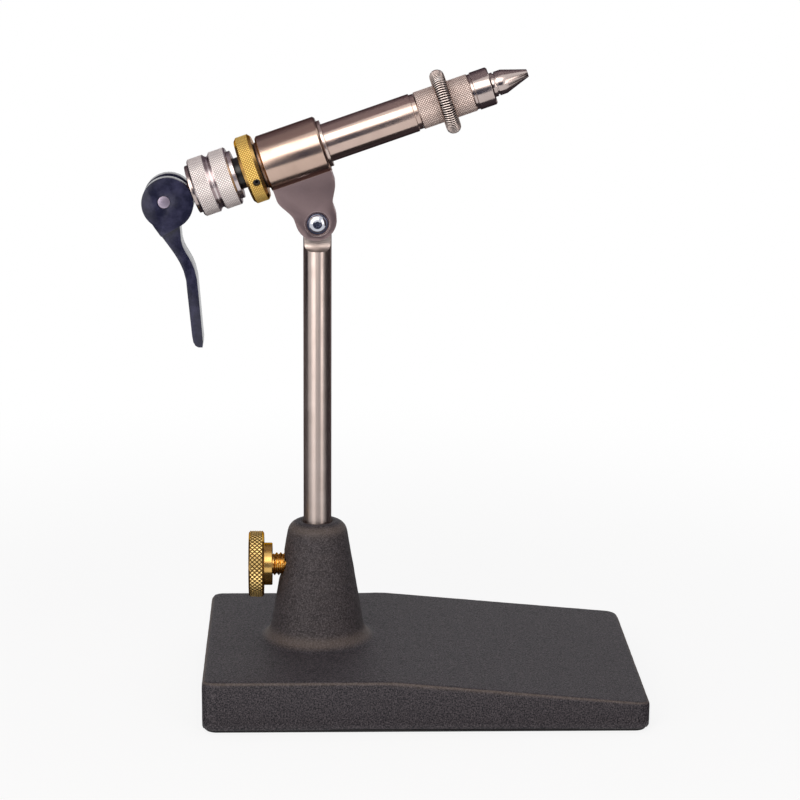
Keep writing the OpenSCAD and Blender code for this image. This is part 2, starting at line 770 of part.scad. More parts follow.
module jaw_profile() {
  ring_end_u = nose_end_u + free_gap + jaw_ring_w;
  cone_u = nose_end_u + jaw_straight;
  throat_u = nose_end_u - jaw_taper_l;
  polygon([
    [0, tail_u], [tail_r, tail_u], [tail_r, throat_u - throat_step], [jaw_taper_r, throat_u],
    [jaw_r, nose_end_u], [jaw_r, ring_end_u], [jaw_r - jaw_groove_h, ring_end_u],
    [jaw_r - jaw_groove_h, ring_end_u + jaw_groove_w], [jaw_r, ring_end_u + jaw_groove_w],
    [jaw_r, cone_u], [jaw_tip_d / 2, jaw_tip_u], [0, jaw_tip_u]
  ]);
}

// What is cut off a jaw's tail, so that the jaw rocks on a round heel
module heel_cut() {
  in_head() difference() {
    translate([tail_u - over, -nose_d / 2, axis_h - nose_d / 2]) cube([heel_r + over, nose_d, nose_d]);
    translate([tail_u + heel_r, 0, axis_h]) cylinder(r = heel_r, h = 2 * nose_d, center = true);
  }
}

// One half of the split collet; side -1 is the near half and side 1 the far half
module jaw(side) {
  l = jaw_tip_u - tail_u;
  difference() {
    intersection() {
      on_axis() rotate_extrude() jaw_profile();
      in_head() translate([tail_u - over, side > 0 ? parting : -parting - nose_d, axis_h - nose_d / 2])
        cube([l + 2 * over, nose_d, nose_d]);
    }
    in_head() translate([pocket_u, 0, axis_h]) rotate([90, 0, 0])
      cylinder(r = pocket_r, h = 2 * (pocket_h + parting), center = true);
    heel_cut();
  }
}

module near_jaw() {
  color(bright_steel) jaw(-1);
}

module far_jaw() {
  color(bright_steel) jaw(1);
}

module jaw_spring() {
  l = 2 * (pocket_h + parting) - spreader_wire_d - run_gap;
  centres = coil_centres(pocket_r - run_gap - spreader_wire_d / 2, l, spreader_curls);
  color(steel) in_head() translate([pocket_u, l / 2, axis_h]) rotate([90, 0, 0])
    wire(centres, coil_hubs(centres), spreader_wire_d, false);
}

base_casting();
base_pad();
thumbscrew();
screw_tip();
stem_glide();
stem();
head_housing();
rear_bushing();
front_bushing();
pivot_screw();
pivot_washers();
spindle_tube();
knurled_sleeve();
nose_collar();
material_spring();
friction_washer();
neck_seal();
tension_ring();
ring_screw();
thrust_washer();
adjusting_knob();
drawbar();
cam_pin();
return_spring();
cam_lever();
near_jaw();
far_jaw();
jaw_spring();
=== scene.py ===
"""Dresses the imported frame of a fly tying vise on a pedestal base.

Sizes are in millimetres until a mesh is made. The head has its own frame: its origin is on the pivot, its
first coordinate u runs along the head towards the jaws, and its third, v, runs across the head and upwards.
"""

import logging
import math
from dataclasses import dataclass, field, replace
from enum import Enum
from typing import Iterable, Sequence

import bmesh
import bpy
from mathutils import Matrix, Vector, noise
from mathutils.bvhtree import BVHTree


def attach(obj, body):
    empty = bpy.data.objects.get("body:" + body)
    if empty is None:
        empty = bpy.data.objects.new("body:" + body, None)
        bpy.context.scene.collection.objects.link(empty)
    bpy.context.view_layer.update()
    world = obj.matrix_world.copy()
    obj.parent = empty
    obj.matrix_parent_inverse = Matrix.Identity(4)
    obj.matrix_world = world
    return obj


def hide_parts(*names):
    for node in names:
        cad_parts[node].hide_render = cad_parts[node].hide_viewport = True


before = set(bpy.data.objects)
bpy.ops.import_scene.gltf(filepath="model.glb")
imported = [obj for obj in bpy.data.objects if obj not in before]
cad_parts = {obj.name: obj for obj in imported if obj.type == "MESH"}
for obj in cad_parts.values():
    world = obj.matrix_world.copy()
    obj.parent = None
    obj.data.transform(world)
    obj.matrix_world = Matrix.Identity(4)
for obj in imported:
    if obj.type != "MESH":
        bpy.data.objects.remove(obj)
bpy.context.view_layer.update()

log = logging.getLogger("vise")
Point2 = tuple[float, float]
Point3 = tuple[float, float, float]
MM = 0.001
PER_MM = 1000.0
# Where a thread's root ends and its crest begins, in shares of a turn from the middle of the root
ROOT_SHARE = 1 / 11
CREST_SHARE = 5 / 11
# A profile's corner that turns less than this, in radians, isn't rounded
STRAIGHT = 0.05
# The most of an edge that the rounding at one of its ends takes
EASE_SHARE = 0.45
# Profile corners nearer than this in millimetres, and mesh points nearer than this in metres, are one
TOUCHING = 1e-6
# Faces that meet at less than the first angle are one face, and those past the second meet in an edge
FLAT_ANGLE = math.radians(0.3)
EDGE_ANGLE = math.radians(32)
# Points round a smooth turned piece
ROUND = 128


def linear(colour: str) -> tuple[float, float, float, float]:
    """Turns an sRGB hex colour to linear RGBA.

    Args:
        colour: Six hex digits after a number sign.

    Returns:
        Red, green, blue and an alpha of 1.
    """
    parts = [int(colour[i:i + 2], 16) / 255 for i in (1, 3, 5)]
    red, green, blue = (p / 12.92 if p <= 0.04045 else ((p + 0.055) / 1.055) ** 2.4 for p in parts)
    return red, green, blue, 1.0


def set_inputs(tree: bpy.types.NodeTree, node: bpy.types.Node, inputs: dict) -> None:
    """Sets or links inputs of a node.

    Args:
        tree: The tree that the node is in.
        node: The node.
        inputs: Value, socket, or node for its first output, for each input by its name or place.
    """
    for socket, value in inputs.items():
        if isinstance(value, bpy.types.Node):
            value = value.outputs[0]
        if isinstance(value, bpy.types.NodeSocket):
            tree.links.new(value, node.inputs[socket])
        else:
            node.inputs[socket].default_value = value


def add(
    tree: bpy.types.NodeTree, kind: str, inputs: dict | None = None, **settings: object,
) -> bpy.types.Node:
    """Adds one node with its settings, values and links.

    Args:
        tree: The tree that takes the node.
        kind: Type of the node, without the words that all types begin with.
        inputs: What its inputs take, as in set_inputs.
        settings: Properties of the node.

    Returns:
        The new node.
    """
    node = tree.nodes.new("ShaderNode" + kind)
    for name, value in settings.items():
        setattr(node, name, value)
    set_inputs(tree, node, inputs or {})
    return node


def cleared(owner: bpy.types.Material | bpy.types.World) -> bpy.types.NodeTree:
    """The emptied node tree of a material or a world.

    Args:
        owner: The material or world.

    Returns:
        Its tree.
    """
    owner.use_nodes = True
    owner.node_tree.nodes.clear()
    return owner.node_tree


@dataclass(frozen=True)
class Row:
    """One circle of points on a turned surface.

    A dip without a lead sinks every second point, which makes diamonds with the rows beside it. A dip with a
    lead is the depth of a screw thread.
    """

    place: float
    radius: float
    dip: float = 0.0
    odd: bool = False
    lead: float = 0.0

    def reach(self, column: int, columns: int) -> float:
        """Radius of one point of the row.

        Args:
            column: Number of the point.
            columns: How many points the row has.

        Returns:
            Radius in millimetres.
        """
        if self.lead:
            turn = (self.place / self.lead - column / columns) % 1.0
            flank = (CREST_SHARE - abs(turn - 0.5)) / (CREST_SHARE - ROOT_SHARE)
            return self.radius - self.dip * max(0.0, min(1.0, flank))
        return self.radius - (self.dip if self.sinks(column) else 0.0)

    def sinks(self, column: int) -> bool:
        """Whether a point of a knurled row is a low one."""
        return (column + self.odd) % 2 == 0


def plain(corners: Iterable[Point2]) -> list[Row]:
    """Rows without knurl or thread at the given places and radii."""
    return [Row(place, radius) for place, radius in corners]


def knurl(start: float, end: float, radius: float, depth: float, pitch: float) -> list[Row]:
    """Rows of a diamond knurl.

    Args:
        start: Place of the first row.
        end: Place of the last row.
        radius: Radius over the points of the diamonds.
        depth: Depth of the grooves between them.
        pitch: Length of one diamond along the axis.

    Returns:
        The rows, half a diamond apart.
    """
    steps = max(2, round((end - start) / (pitch / 2)))
    return [Row(start + (end - start) * i / steps, radius, depth, i % 2 == 1) for i in range(steps + 1)]


def thread(start: float, end: float, radius: float, depth: float, lead: float, fineness: int) -> list[Row]:
    """Rows of a screw thread.

    Args:
        start: Place of the first row.
        end: Place of the last row.
        radius: Outer radius.
        depth: Depth of the thread.
        lead: Distance between turns.
        fineness: Rows for one turn.

    Returns:
        The rows.
    """
    steps = round((end - start) / lead * fineness)
    return [Row(start + (end - start) * i / steps, radius, depth, False, lead) for i in range(steps + 1)]


def eased(corners: Sequence[Point2], radius: float, steps: int = 3) -> list[Point2]:
    """Rounds the corners of an open profile, apart from its two ends.

    Args:
        corners: Corners of the profile.
        radius: Radius of the rounding, made smaller where an edge is too short for it.
        steps: Edges of each rounding.

    Returns:
        The profile with its roundings.
    """
    result = [corners[0]]
    for before, corner, after in zip(corners, corners[1:], corners[2:]):
        here = Vector(corner)
        back, ahead = Vector(before) - here, Vector(after) - here
        if back.length < TOUCHING or ahead.length < TOUCHING:
            continue
        angle = back.angle(ahead)
        if angle > math.pi - STRAIGHT:
            result.append(corner)
            continue
        cut = min(radius / math.tan(angle / 2), EASE_SHARE * back.length, EASE_SHARE * ahead.length)
        start, end = here + back.normalized() * cut, here + ahead.normalized() * cut
        for i in range(steps + 1):
            t = i / steps
            bend = start * (1 - t) ** 2 + here * (2 * t * (1 - t)) + end * t ** 2
            result.append((bend.x, bend.y))
    return result + [corners[-1]]


def neighbours(count: int, closed: bool) -> list[tuple[int, int]]:
    """Numbers of each item and the next.

    Args:
        count: How many items there are.
        closed: Whether the first follows the last.

    Returns:
        The pairs.
    """
    return [(i, (i + 1) % count) for i in range(count if closed else count - 1)]


@dataclass
class Shape:
    """Points and faces of a mesh in millimetres, and each face's finish group where there are several."""

    points: list[Vector] = field(default_factory=list)
    faces: list[tuple[int, ...]] = field(default_factory=list)
    groups: list[int] = field(default_factory=list)

    @classmethod
    def turned(cls, rows: Sequence[Row], columns: int, closed: bool = False) -> "Shape":
        """A turned surface round the first axis, with its knurled faces in the second finish group.

        Args:
            rows: Its rows. A row of no radius becomes one point.
            columns: Points of each row.
            closed: Whether the last row joins the first, as in a ring.

        Returns:
            The surface.
        """
        shape, starts = cls(), []
        for row in rows:
            starts.append(len(shape.points))
            for c in range(columns if row.radius else 1):
                angle, reach = math.tau * c / columns, row.reach(c, columns) if row.radius else 0.0
                shape.points.append(Vector((row.place, reach * math.sin(angle), reach * math.cos(angle))))
        for i, j in neighbours(len(rows), closed):
            knurled = bool(rows[i].dip and rows[j].dip and not rows[i].lead)
            for c in range(columns):
                d = (c + 1) % columns
                places = ((i, c), (i, d), (j, d), (j, c))
                corners = [starts[at] + (k if rows[at].radius else 0) for at, k in places]
                if len(set(corners)) == 3:
                    shape.faces.append(tuple(dict.fromkeys(corners)))
                elif knurled:
                    turn = 0 if rows[i].sinks(c) else 1
                    a, b, e, f = corners[turn:] + corners[:turn]
                    shape.faces += [(a, b, e), (a, e, f)]
                else:
                    shape.faces.append(tuple(corners))
            shape.groups += [int(knurled)] * (len(shape.faces) - len(shape.groups))
        return shape

    @classmethod
    def skin(cls, loops: Sequence[Sequence[Vector]], joined: bool = False) -> "Shape":
        """A surface through loops of equally many points.

        Args:
            loops: The loops in order.
            joined: Whether the last loop joins the first. If not, both ends are closed by a flat face.

        Returns:
            The surface.
        """
        n = len(loops[0])
        shape = cls([Vector(p) for loop in loops for p in loop])
        shape.faces = [
            (i * n + k, i * n + m, j * n + m, j * n + k)
            for i, j in neighbours(len(loops), joined) for k, m in neighbours(n, True)
        ]
        if not joined:
            shape.faces += [tuple(range(n))[::-1], tuple(range(len(shape.points) - n, len(shape.points)))]
        return shape

    @classmethod
    def plate(
        cls, outline: Sequence[Point2], low: float, high: float, ease: float, steps: int = 3,
    ) -> "Shape":
        """A plate with rounded edges, its outline in the first two axes and its thickness along the third.

        Args:
            outline: Corners, counter-clockwise.
            low: Lower face.
            high: Upper face.
            ease: Radius of the rounded edges.
            steps: Edges of each rounding.

        Returns:
            The plate.
        """
        corners = [Vector(p) for p in outline]
        outward = []
        for i, here in enumerate(corners):
            ahead, back = corners[(i + 1) % len(corners)] - here, here - corners[i - 1]
            along = ahead.normalized() + back.normalized()
            outward.append(Vector((along.y, -along.x)).normalized())
        turns = [math.pi / 2 * i / steps for i in range(steps + 1)]
        levels = [(ease * (1 - math.sin(t)), low + ease * (1 - math.cos(t))) for t in turns]
        levels += [(inset, low + high - level) for inset, level in reversed(levels)]
        return cls.skin([
            [(c - w * inset).to_3d() + Vector((0, 0, level)) for c, w in zip(corners, outward)]
            for inset, level in levels
        ])

    @classmethod
    def wire(
        cls, centres: Sequence[Vector], hubs: Sequence[Vector], radius: float, sides: int, closed: bool,
    ) -> "Shape":
        """Round wire along a coil.

        Args:
            centres: Points on the wire's middle.
            hubs: Middle of the coil beside each of them.
            radius: Radius of the wire.
            sides: Points round the wire.
            closed: Whether the wire's end joins its start.

        Returns:
            The wire.
        """
        loops, n = [], len(centres)
        for i, (centre, hub) in enumerate(zip(centres, hubs)):
            before = centres[i - 1] if closed or i else centre
            after = centres[(i + 1) % n] if closed or i < n - 1 else centre
            along = (after - before).normalized()
            side = along.cross(centre - hub).normalized()
            out = side.cross(along)
            angles = [math.tau * k / sides for k in range(sides)]
            loops.append([centre + radius * (math.cos(a) * side + math.sin(a) * out) for a in angles])
        return cls.skin(loops, closed)

    def moved(self, matrix: Matrix) -> "Shape":
        """The shape under a matrix."""
        return Shape([matrix @ p for p in self.points], list(self.faces), list(self.groups))

    def mesh(self, name: str) -> bpy.types.Mesh:
        """Makes the mesh in metres, with its faces turned outwards.

        Args:
            name: Name of the mesh.

        Returns:
            The mesh.
        """
        mesh = bpy.data.meshes.new(name)
        mesh.from_pydata([p * MM for p in self.points], [], self.faces)
        if self.groups:
            mesh.polygons.foreach_set("material_index", self.groups)
        tidy_mesh(mesh)
        return mesh


def tidy_mesh(mesh: bpy.types.Mesh, flat: float | None = None) -> None:
    """Joins double points and turns the faces outwards.

    Args:
        mesh: The mesh, changed in place.
        flat: Where given, faces that meet at less than this angle are joined to one.
    """
    work = bmesh.new()
    work.from_mesh(mesh)
    bmesh.ops.remove_doubles(work, verts=work.verts, dist=TOUCHING)
    if flat is not None:
        bmesh.ops.dissolve_limit(work, angle_limit=flat, verts=work.verts, edges=work.edges)
    bmesh.ops.recalc_face_normals(work, faces=work.faces)
    work.to_mesh(mesh)
    work.free()


def with_modifier(mesh: bpy.types.Mesh, kind: str, **settings: object) -> bpy.types.Mesh:
    """The mesh after one modifier.

    Args:
        mesh: The mesh, which is given up.
        kind: Type of the modifier.
        settings: Its properties.

    Returns:
        A new mesh.
    """
    holder = bpy.data.objects.new("holder", mesh)
    bpy.context.scene.collection.objects.link(holder)
    modifier = holder.modifiers.new("step", kind)
    for name, value in settings.items():
        setattr(modifier, name, value)
    bpy.context.view_layer.update()
    made = bpy.data.meshes.new_from_object(holder.evaluated_get(bpy.context.evaluated_depsgraph_get()))
    bpy.data.objects.remove(holder)
    return made


def softened(node: str, ease: float, steps: int = 3) -> bpy.types.Mesh:
    """A copy of a CAD node's mesh with its sharp edges rounded.

    Args:
        node: Name of the node.
        ease: Width of the rounding in millimetres.
        steps: Edges of each rounding.

    Returns:
        The new mesh.
    """
    mesh = bpy.data.objects[node].data.copy()
    mesh.materials.clear()
    tidy_mesh(mesh, FLAT_ANGLE)
    return with_modifier(
        mesh, "BEVEL", width=ease * MM, segments=steps, limit_method="ANGLE", angle_limit=EDGE_ANGLE,
        use_clamp_overlap=True, miter_outer="MITER_ARC",
    )


def coil_points(coil_r: float, length: float, curls: int, steps: int) -> tuple[list[Vector], list[Vector]]:
    """Middle of the wire, and of the coil beside it, for a straight spring along the first axis.

    Args:
        coil_r: Radius of the coil.
        length: Length along the axis.
        curls: Number of curls.
        steps: Points of each curl.

    Returns:
        Centres and hubs.
    """
    centres = []
    for i in range(curls * steps + 1):
        angle = math.tau * i / steps
        place = length * i / (curls * steps)
        centres.append(Vector((place, coil_r * math.sin(angle), coil_r * math.cos(angle))))
    return centres, [Vector((c.x, 0, 0)) for c in centres]


@dataclass(frozen=True)
class Head:
    """Where the tilted head lies."""

    tilt: float = math.radians(19.4)
    pivot_z: float = 162.7
    axis_h: float = 24.0

    @property
    def place(self) -> Matrix:
        """From the head's frame to the world, in millimetres."""
        return Matrix.Translation((0, 0, self.pivot_z)) @ Matrix.Rotation(-self.tilt, 4, "Y")

    @property
    def on_axis(self) -> Matrix:
        """From a piece turned round the first axis to its place on the spindle's axis."""
        return self.place @ Matrix.Translation((0, 0, self.axis_h))

    @property
    def along(self) -> Vector:
        """Direction of the spindle's axis."""
        return self.place.to_3x3() @ Vector((1, 0, 0))

    @property
    def axis_point(self) -> Vector:
        """A point on the spindle's axis, in metres."""
        return (self.on_axis @ Vector((0, 0, 0))) * MM


HEAD = Head()
HEAD_AXIS = tuple(HEAD.along)
HEAD_POINT = tuple(HEAD.axis_point)
THUMB_Z = 43.5
THUMB_AXIS = (1.0, 0.0, 0.0)
THUMB_POINT = (0.0, 0.0, THUMB_Z * MM)
STEM_AXIS = (0.0, 0.0, 1.0)
STEM_POINT = (0.0, 0.0, 0.0)

# Sockets of a mix node by place, as their names repeat: its share, then those of colours and of vectors
SHARE = 0
COLOUR_A, COLOUR_B, COLOUR_OUT = 6, 7, 2
VECTOR_A, VECTOR_B, VECTOR_OUT = 4, 5, 1
# Turns the stretch of a highlight from round the axis to along it
QUARTER_TURN = 0.25


def about_axis(
    tree: bpy.types.NodeTree, spot: bpy.types.NodeSocket, axis: Point3, point: Point3,
) -> tuple[bpy.types.Node, bpy.types.Node]:
    """How a place lies about an axis.

    Args:
        tree: The material's nodes.
        spot: The place, in metres.
        axis: Direction of the axis.
        point: A point on it.

    Returns:
        The arm from the point to the place, and a vector round the axis that is as long as the distance
        from it.
    """
    arm = add(tree, "VectorMath", {0: spot, 1: point}, operation="SUBTRACT")
    return arm, add(tree, "VectorMath", {0: axis, 1: arm}, operation="CROSS_PRODUCT")


@dataclass(frozen=True)
class Finish:
    """What a surface is made of, and how it was made."""

    name: str
    colour: str
    roughness: float

    def dress(self, tree: bpy.types.NodeTree, shader: bpy.types.Node, spot: bpy.types.NodeSocket) -> None:
        """Adds the finish's own pattern."""
        raise NotImplementedError

    def material(self) -> bpy.types.Material:
        """The finish's material, made once.

        Returns:
            The material.
        """
        made = bpy.data.materials.get(self.name)
        if made:
            return made
        made = bpy.data.materials.new(self.name)
        tree = cleared(made)
        shader = add(tree, "BsdfPrincipled", {"Base Color": linear(self.colour), "Roughness": self.roughness})
        add(tree, "OutputMaterial", {"Surface": shader})
        self.dress(tree, shader, add(tree, "TexCoord").outputs["Object"])
        return made


@dataclass(frozen=True)
class Metal(Finish):
    """Solid metal, slightly clouded where hands have been.

    The edge tint is what the metal keeps of the light that grazes it.
    """

    cloud: str
    edge_tint: str
    cloud_size: float = 6.0
    cloud_share: float = 0.35
    spread: float = 0.04
    mirror: float = 1.0
    cloud_rise: Point2 = (0.4, 0.7)
    gloss_rise: Point2 = (0.3, 0.7)

    def dress(self, tree: bpy.types.NodeTree, shader: bpy.types.Node, spot: bpy.types.NodeSocket) -> None:
        """Clouds the colour and the gloss, then adds the tool marks.

        Args:
            tree: The material's nodes.
            shader: Its principled shader.
            spot: The piece's own coordinates.
        """
        clouds = add(tree, "TexNoise", {"Vector": spot, "Scale": PER_MM / self.cloud_size, "Detail": 3.0})
        share = add(tree, "MapRange", {
            "Value": clouds, "From Min": self.cloud_rise[0], "From Max": self.cloud_rise[1],
            "To Max": self.cloud_share,
        })
        colour = add(tree, "Mix", {
            SHARE: share, COLOUR_A: linear(self.colour), COLOUR_B: linear(self.cloud),
        }, data_type="RGBA")
        gloss = add(tree, "MapRange", {
            "Value": clouds, "From Min": self.gloss_rise[0], "From Max": self.gloss_rise[1],
            "To Min": self.roughness - self.spread, "To Max": self.roughness + self.spread,
        })
        set_inputs(tree, shader, {
            "Metallic": self.mirror, "Specular Tint": linear(self.edge_tint), "Roughness": gloss,
            "Base Color": self.tone(tree, spot, colour.outputs[COLOUR_OUT]),
        })
        self.mark(tree, shader, spot)

    def tone(
        self, tree: bpy.types.NodeTree, spot: bpy.types.NodeSocket, colour: bpy.types.NodeSocket,
    ) -> bpy.types.NodeSocket:
        """Leaves the colour as it is; kinds of metal that take painted shade in their grooves or between
        their curls darken it here.
        """
        return colour

    def mark(self, tree: bpy.types.NodeTree, shader: bpy.types.Node, spot: bpy.types.NodeSocket) -> None:
        """Leaves the metal as it is; kinds of metal with tool marks add theirs here."""


@dataclass(frozen=True)
class TurnedMetal(Metal):
    """Metal finished on a lathe: faint rings round its axis draw the highlights out along it."""

    axis: Point3 = HEAD_AXIS
    point: Point3 = HEAD_POINT
    stretch: float = 0.6
    feed: float = 0.45
    mark_depth: float = 0.004

    def mark(self, tree: bpy.types.NodeTree, shader: bpy.types.Node, spot: bpy.types.NodeSocket) -> None:
        """Adds the tool's rings.

        Args:
            tree: The material's nodes.
            shader: Its principled shader.
            spot: The piece's own coordinates.
        """
        arm, ring = about_axis(tree, spot, self.axis, self.point)
        turned = add(tree, "VectorTransform", {
            0: ring,
        }, vector_type="VECTOR", convert_from="OBJECT", convert_to="WORLD")
        # A finishing feed of 0.1 mm would not show, so its rings are drawn about four times as wide
        along = add(tree, "VectorMath", {0: arm, 1: self.axis}, operation="DOT_PRODUCT")
        rings = add(tree, "TexNoise", {
            "W": along.outputs["Value"], "Scale": PER_MM / self.feed, "Detail": 1.0,
        }, noise_dimensions="1D")
        bump = add(tree, "Bump", {"Height": rings, "Strength": 1.0, "Distance": self.mark_depth * MM})
        set_inputs(tree, shader, {
            "Tangent": turned, "Anisotropic": self.stretch, "Anisotropic Rotation": QUARTER_TURN,
            "Normal": bump,
        })


@dataclass(frozen=True)
class SatinMetal(Metal):
    """Metal dulled with fine grit, so that its flat faces show one soft tone."""

    grit: float = 0.25
    grit_depth: float = 0.006

    def mark(self, tree: bpy.types.NodeTree, shader: bpy.types.Node, spot: bpy.types.NodeSocket) -> None:
        """Adds the dents of the grit.

        Args:
            tree: The material's nodes.
            shader: Its principled shader.
            spot: The piece's own coordinates.
        """
        dents = add(tree, "TexNoise", {"Vector": spot, "Scale": PER_MM / self.grit, "Detail": 2.0})
        bump = add(tree, "Bump", {"Height": dents, "Strength": 1.0, "Distance": self.grit_depth * MM})
        set_inputs(tree, shader, {"Normal": bump})


@dataclass(frozen=True)
class KnurledMetal(SatinMetal):
    """Metal with a rolled diamond knurl: bright rubbed points, and grooves darkened by painted shade and by
    oil and dust.

    The real diamonds are finer than the drawn ones, so a share of the light is scattered evenly instead.
    """

    grit_depth: float = 0.003
    mirror: float = 0.5
    # Colour of the grooves: painted shade, with some oil and dust
    groove: str = "#000000"
    crest_r: float = 10.0
    depth: float = 0.15
    dark_share: float = 0.95
    bright_share: float = 0.45
    axis: Point3 = HEAD_AXIS
    point: Point3 = HEAD_POINT

    def on(self, crest_r: float, depth: float) -> "KnurledMetal":
        """The finish for a knurl of the given outer radius and depth."""
        return replace(self, crest_r=crest_r, depth=depth)

    def tone(
        self, tree: bpy.types.NodeTree, spot: bpy.types.NodeSocket, colour: bpy.types.NodeSocket,
    ) -> bpy.types.NodeSocket:
        """Darkens the grooves with painted shade and dirt, by their distance from the piece's axis.

        Args:
            tree: The material's nodes.
            spot: The piece's own coordinates.
            colour: Colour of the points.

        Returns:
            The colour with the painted shade and dirt in the grooves.
        """
        ring = about_axis(tree, spot, self.axis, self.point)[1]
        reach = add(tree, "VectorMath", {0: ring}, operation="LENGTH").outputs["Value"]
        share = add(tree, "MapRange", {
            "Value": reach, "From Min": (self.crest_r - self.dark_share * self.depth) * MM,
            "From Max": (self.crest_r - self.bright_share * self.depth) * MM,
        }, interpolation_type="SMOOTHSTEP")
        mixed = add(tree, "Mix", {
            SHARE: share, COLOUR_A: linear(self.groove), COLOUR_B: colour,
        }, data_type="RGBA")
        return mixed.outputs[COLOUR_OUT]


@dataclass(frozen=True)
class CoiledMetal(Metal):
    """Wire wound closely into a ring: each curl's outside keeps the wire's colour, and painted shade darkens
    it in towards its neighbours.
    """

    # Colour of the painted shade between the curls
    painted_gap_shade: str = "#000000"
    axis: Point3 = HEAD_AXIS
    middle: Point3 = HEAD_POINT
    ring_r: float = 8.8
    coil_h: float = 2.0
    coil_w: float = 2.25
    flank_share: float = 1.0
    crest_share: float = 1.1

    def on(self, middle: Vector, ring_r: float, coil_h: float, coil_w: float) -> "CoiledMetal":
        """The finish for a ring of the given middle in metres, radius and coil."""
        return replace(self, middle=tuple(middle), ring_r=ring_r, coil_h=coil_h, coil_w=coil_w)

    def tone(
        self, tree: bpy.types.NodeTree, spot: bpy.types.NodeSocket, colour: bpy.types.NodeSocket,
    ) -> bpy.types.NodeSocket:
        """Darkens the wire's flanks with painted shade, by their distance from the middle of the coil.

        Args:
            tree: The material's nodes.
            spot: The piece's own coordinates.
            colour: Colour of the wire.

        Returns:
            The colour with painted shade on the flanks.
        """
        arm, ring = about_axis(tree, spot, self.axis, self.middle)
        along = add(tree, "VectorMath", {0: arm, 1: self.axis}, operation="DOT_PRODUCT").outputs["Value"]
        reach = add(tree, "VectorMath", {0: ring}, operation="LENGTH").outputs["Value"]
        out = add(tree, "Math", {0: reach, 1: self.ring_r * MM}, operation="SUBTRACT")
        section = add(tree, "CombineXYZ", {"X": out, "Y": along})
        scaled = add(tree, "VectorMath", {
            0: section, 1: (self.coil_h * MM, self.coil_w * MM, 1.0),
        }, operation="DIVIDE")
        share = add(tree, "MapRange", {
            "Value": add(tree, "VectorMath", {0: scaled}, operation="LENGTH").outputs["Value"],
            "From Min": self.flank_share, "From Max": self.crest_share,
        })
        mixed = add(tree, "Mix", {
            SHARE: share, COLOUR_A: linear(self.painted_gap_shade), COLOUR_B: colour,
        }, data_type="RGBA")
        return mixed.outputs[COLOUR_OUT]


@dataclass(frozen=True)
class WrinkleCoat(Finish):
    """Wrinkle enamel baked on cast iron: a skin of small soft folds that scatter dull glints."""

    painted_crest_glint: str
    wear_and_sheen: str
    edge_sheen_share: float = 0.36
    ior: float = 1.38
    fold: float = 0.7
    fold_depth: float = 0.12
    warp: float = 0.0004
    fine_share: float = 0.6
    grain: float = 0.5
    crest_rise: Point2 = (0.42, 0.64)
    side_rise: Point2 = (0.08, 0.5)
    top_rise: Point2 = (0.96, 0.75)
    spread: float = 0.1

    def dress(self, tree: bpy.types.NodeTree, shader: bpy.types.Node, spot: bpy.types.NodeSocket) -> None:
        """Adds the folds, lighter grains painted as glints on their crests, a painted highlight where the
        coat turns over an edge or into the boss, and the uneven gloss.

        Args:
            tree: The material's nodes.
            shader: Its principled shader.
            spot: The piece's own coordinates.
        """
        bend = add(tree, "TexNoise", {"Vector": spot, "Scale": PER_MM / (2 * self.fold), "Detail": 1.0})
        warped = add(tree, "Mix", {
            SHARE: self.warp, VECTOR_A: spot, VECTOR_B: bend.outputs["Color"],
        }, data_type="VECTOR")
        cells = add(tree, "TexVoronoi", {
            "Vector": warped.outputs[VECTOR_OUT], "Scale": PER_MM / self.fold,
        }, feature="SMOOTH_F1")
        fine = add(tree, "TexNoise", {
            "Vector": spot, "Scale": PER_MM / (self.fine_share * self.fold), "Detail": 4.0, "Roughness": 0.6,
        })
        height = add(tree, "Math", {0: cells.outputs["Distance"], 1: fine}, operation="ADD")
        bump = add(tree, "Bump", {"Height": height, "Strength": 1.0, "Distance": self.fold_depth * MM})
        # Painted glints: random lighter grains stand for the light on the fold crests. The real folds are
        # about 0.3 mm wide, so they are drawn a little coarser to show as grains
        grains = add(tree, "TexNoise", {
            "Vector": spot, "Scale": PER_MM / self.grain, "Detail": 3.0, "Roughness": 0.85,
        })
        crest = add(tree, "MapRange", {
            "Value": grains, "From Min": self.crest_rise[0], "From Max": self.crest_rise[1],
        })
        colour = add(tree, "Mix", {
            SHARE: crest, COLOUR_A: linear(self.colour), COLOUR_B: linear(self.painted_crest_glint),
        }, data_type="RGBA")
        # Painted highlight: where the coat turns over an edge or into the boss, by how far its normal leans,
        # it is paler and browner
        lean = add(tree, "SeparateXYZ", {0: add(tree, "NewGeometry").outputs["Normal"]}).outputs["Z"]
        steep, shallow = (
            add(tree, "MapRange", {"Value": lean, "From Min": low, "From Max": high})
            for low, high in (self.side_rise, self.top_rise)
        )
        turn = add(tree, "Math", {0: steep, 1: shallow}, operation="MULTIPLY")
        edge_sheen = add(tree, "Math", {0: turn, 1: self.edge_sheen_share}, operation="MULTIPLY")
        wear_and_sheen = add(tree, "Mix", {
            SHARE: edge_sheen, COLOUR_A: colour.outputs[COLOUR_OUT], COLOUR_B: linear(self.wear_and_sheen),
        }, data_type="RGBA")
        gloss = add(tree, "MapRange", {
            "Value": fine, "To Min": self.roughness + self.spread, "To Max": self.roughness - self.spread,
        })
        set_inputs(tree, shader, {
            "Base Color": wear_and_sheen.outputs[COLOUR_OUT], "IOR": self.ior, "Roughness": gloss, "Normal": bump,
        })


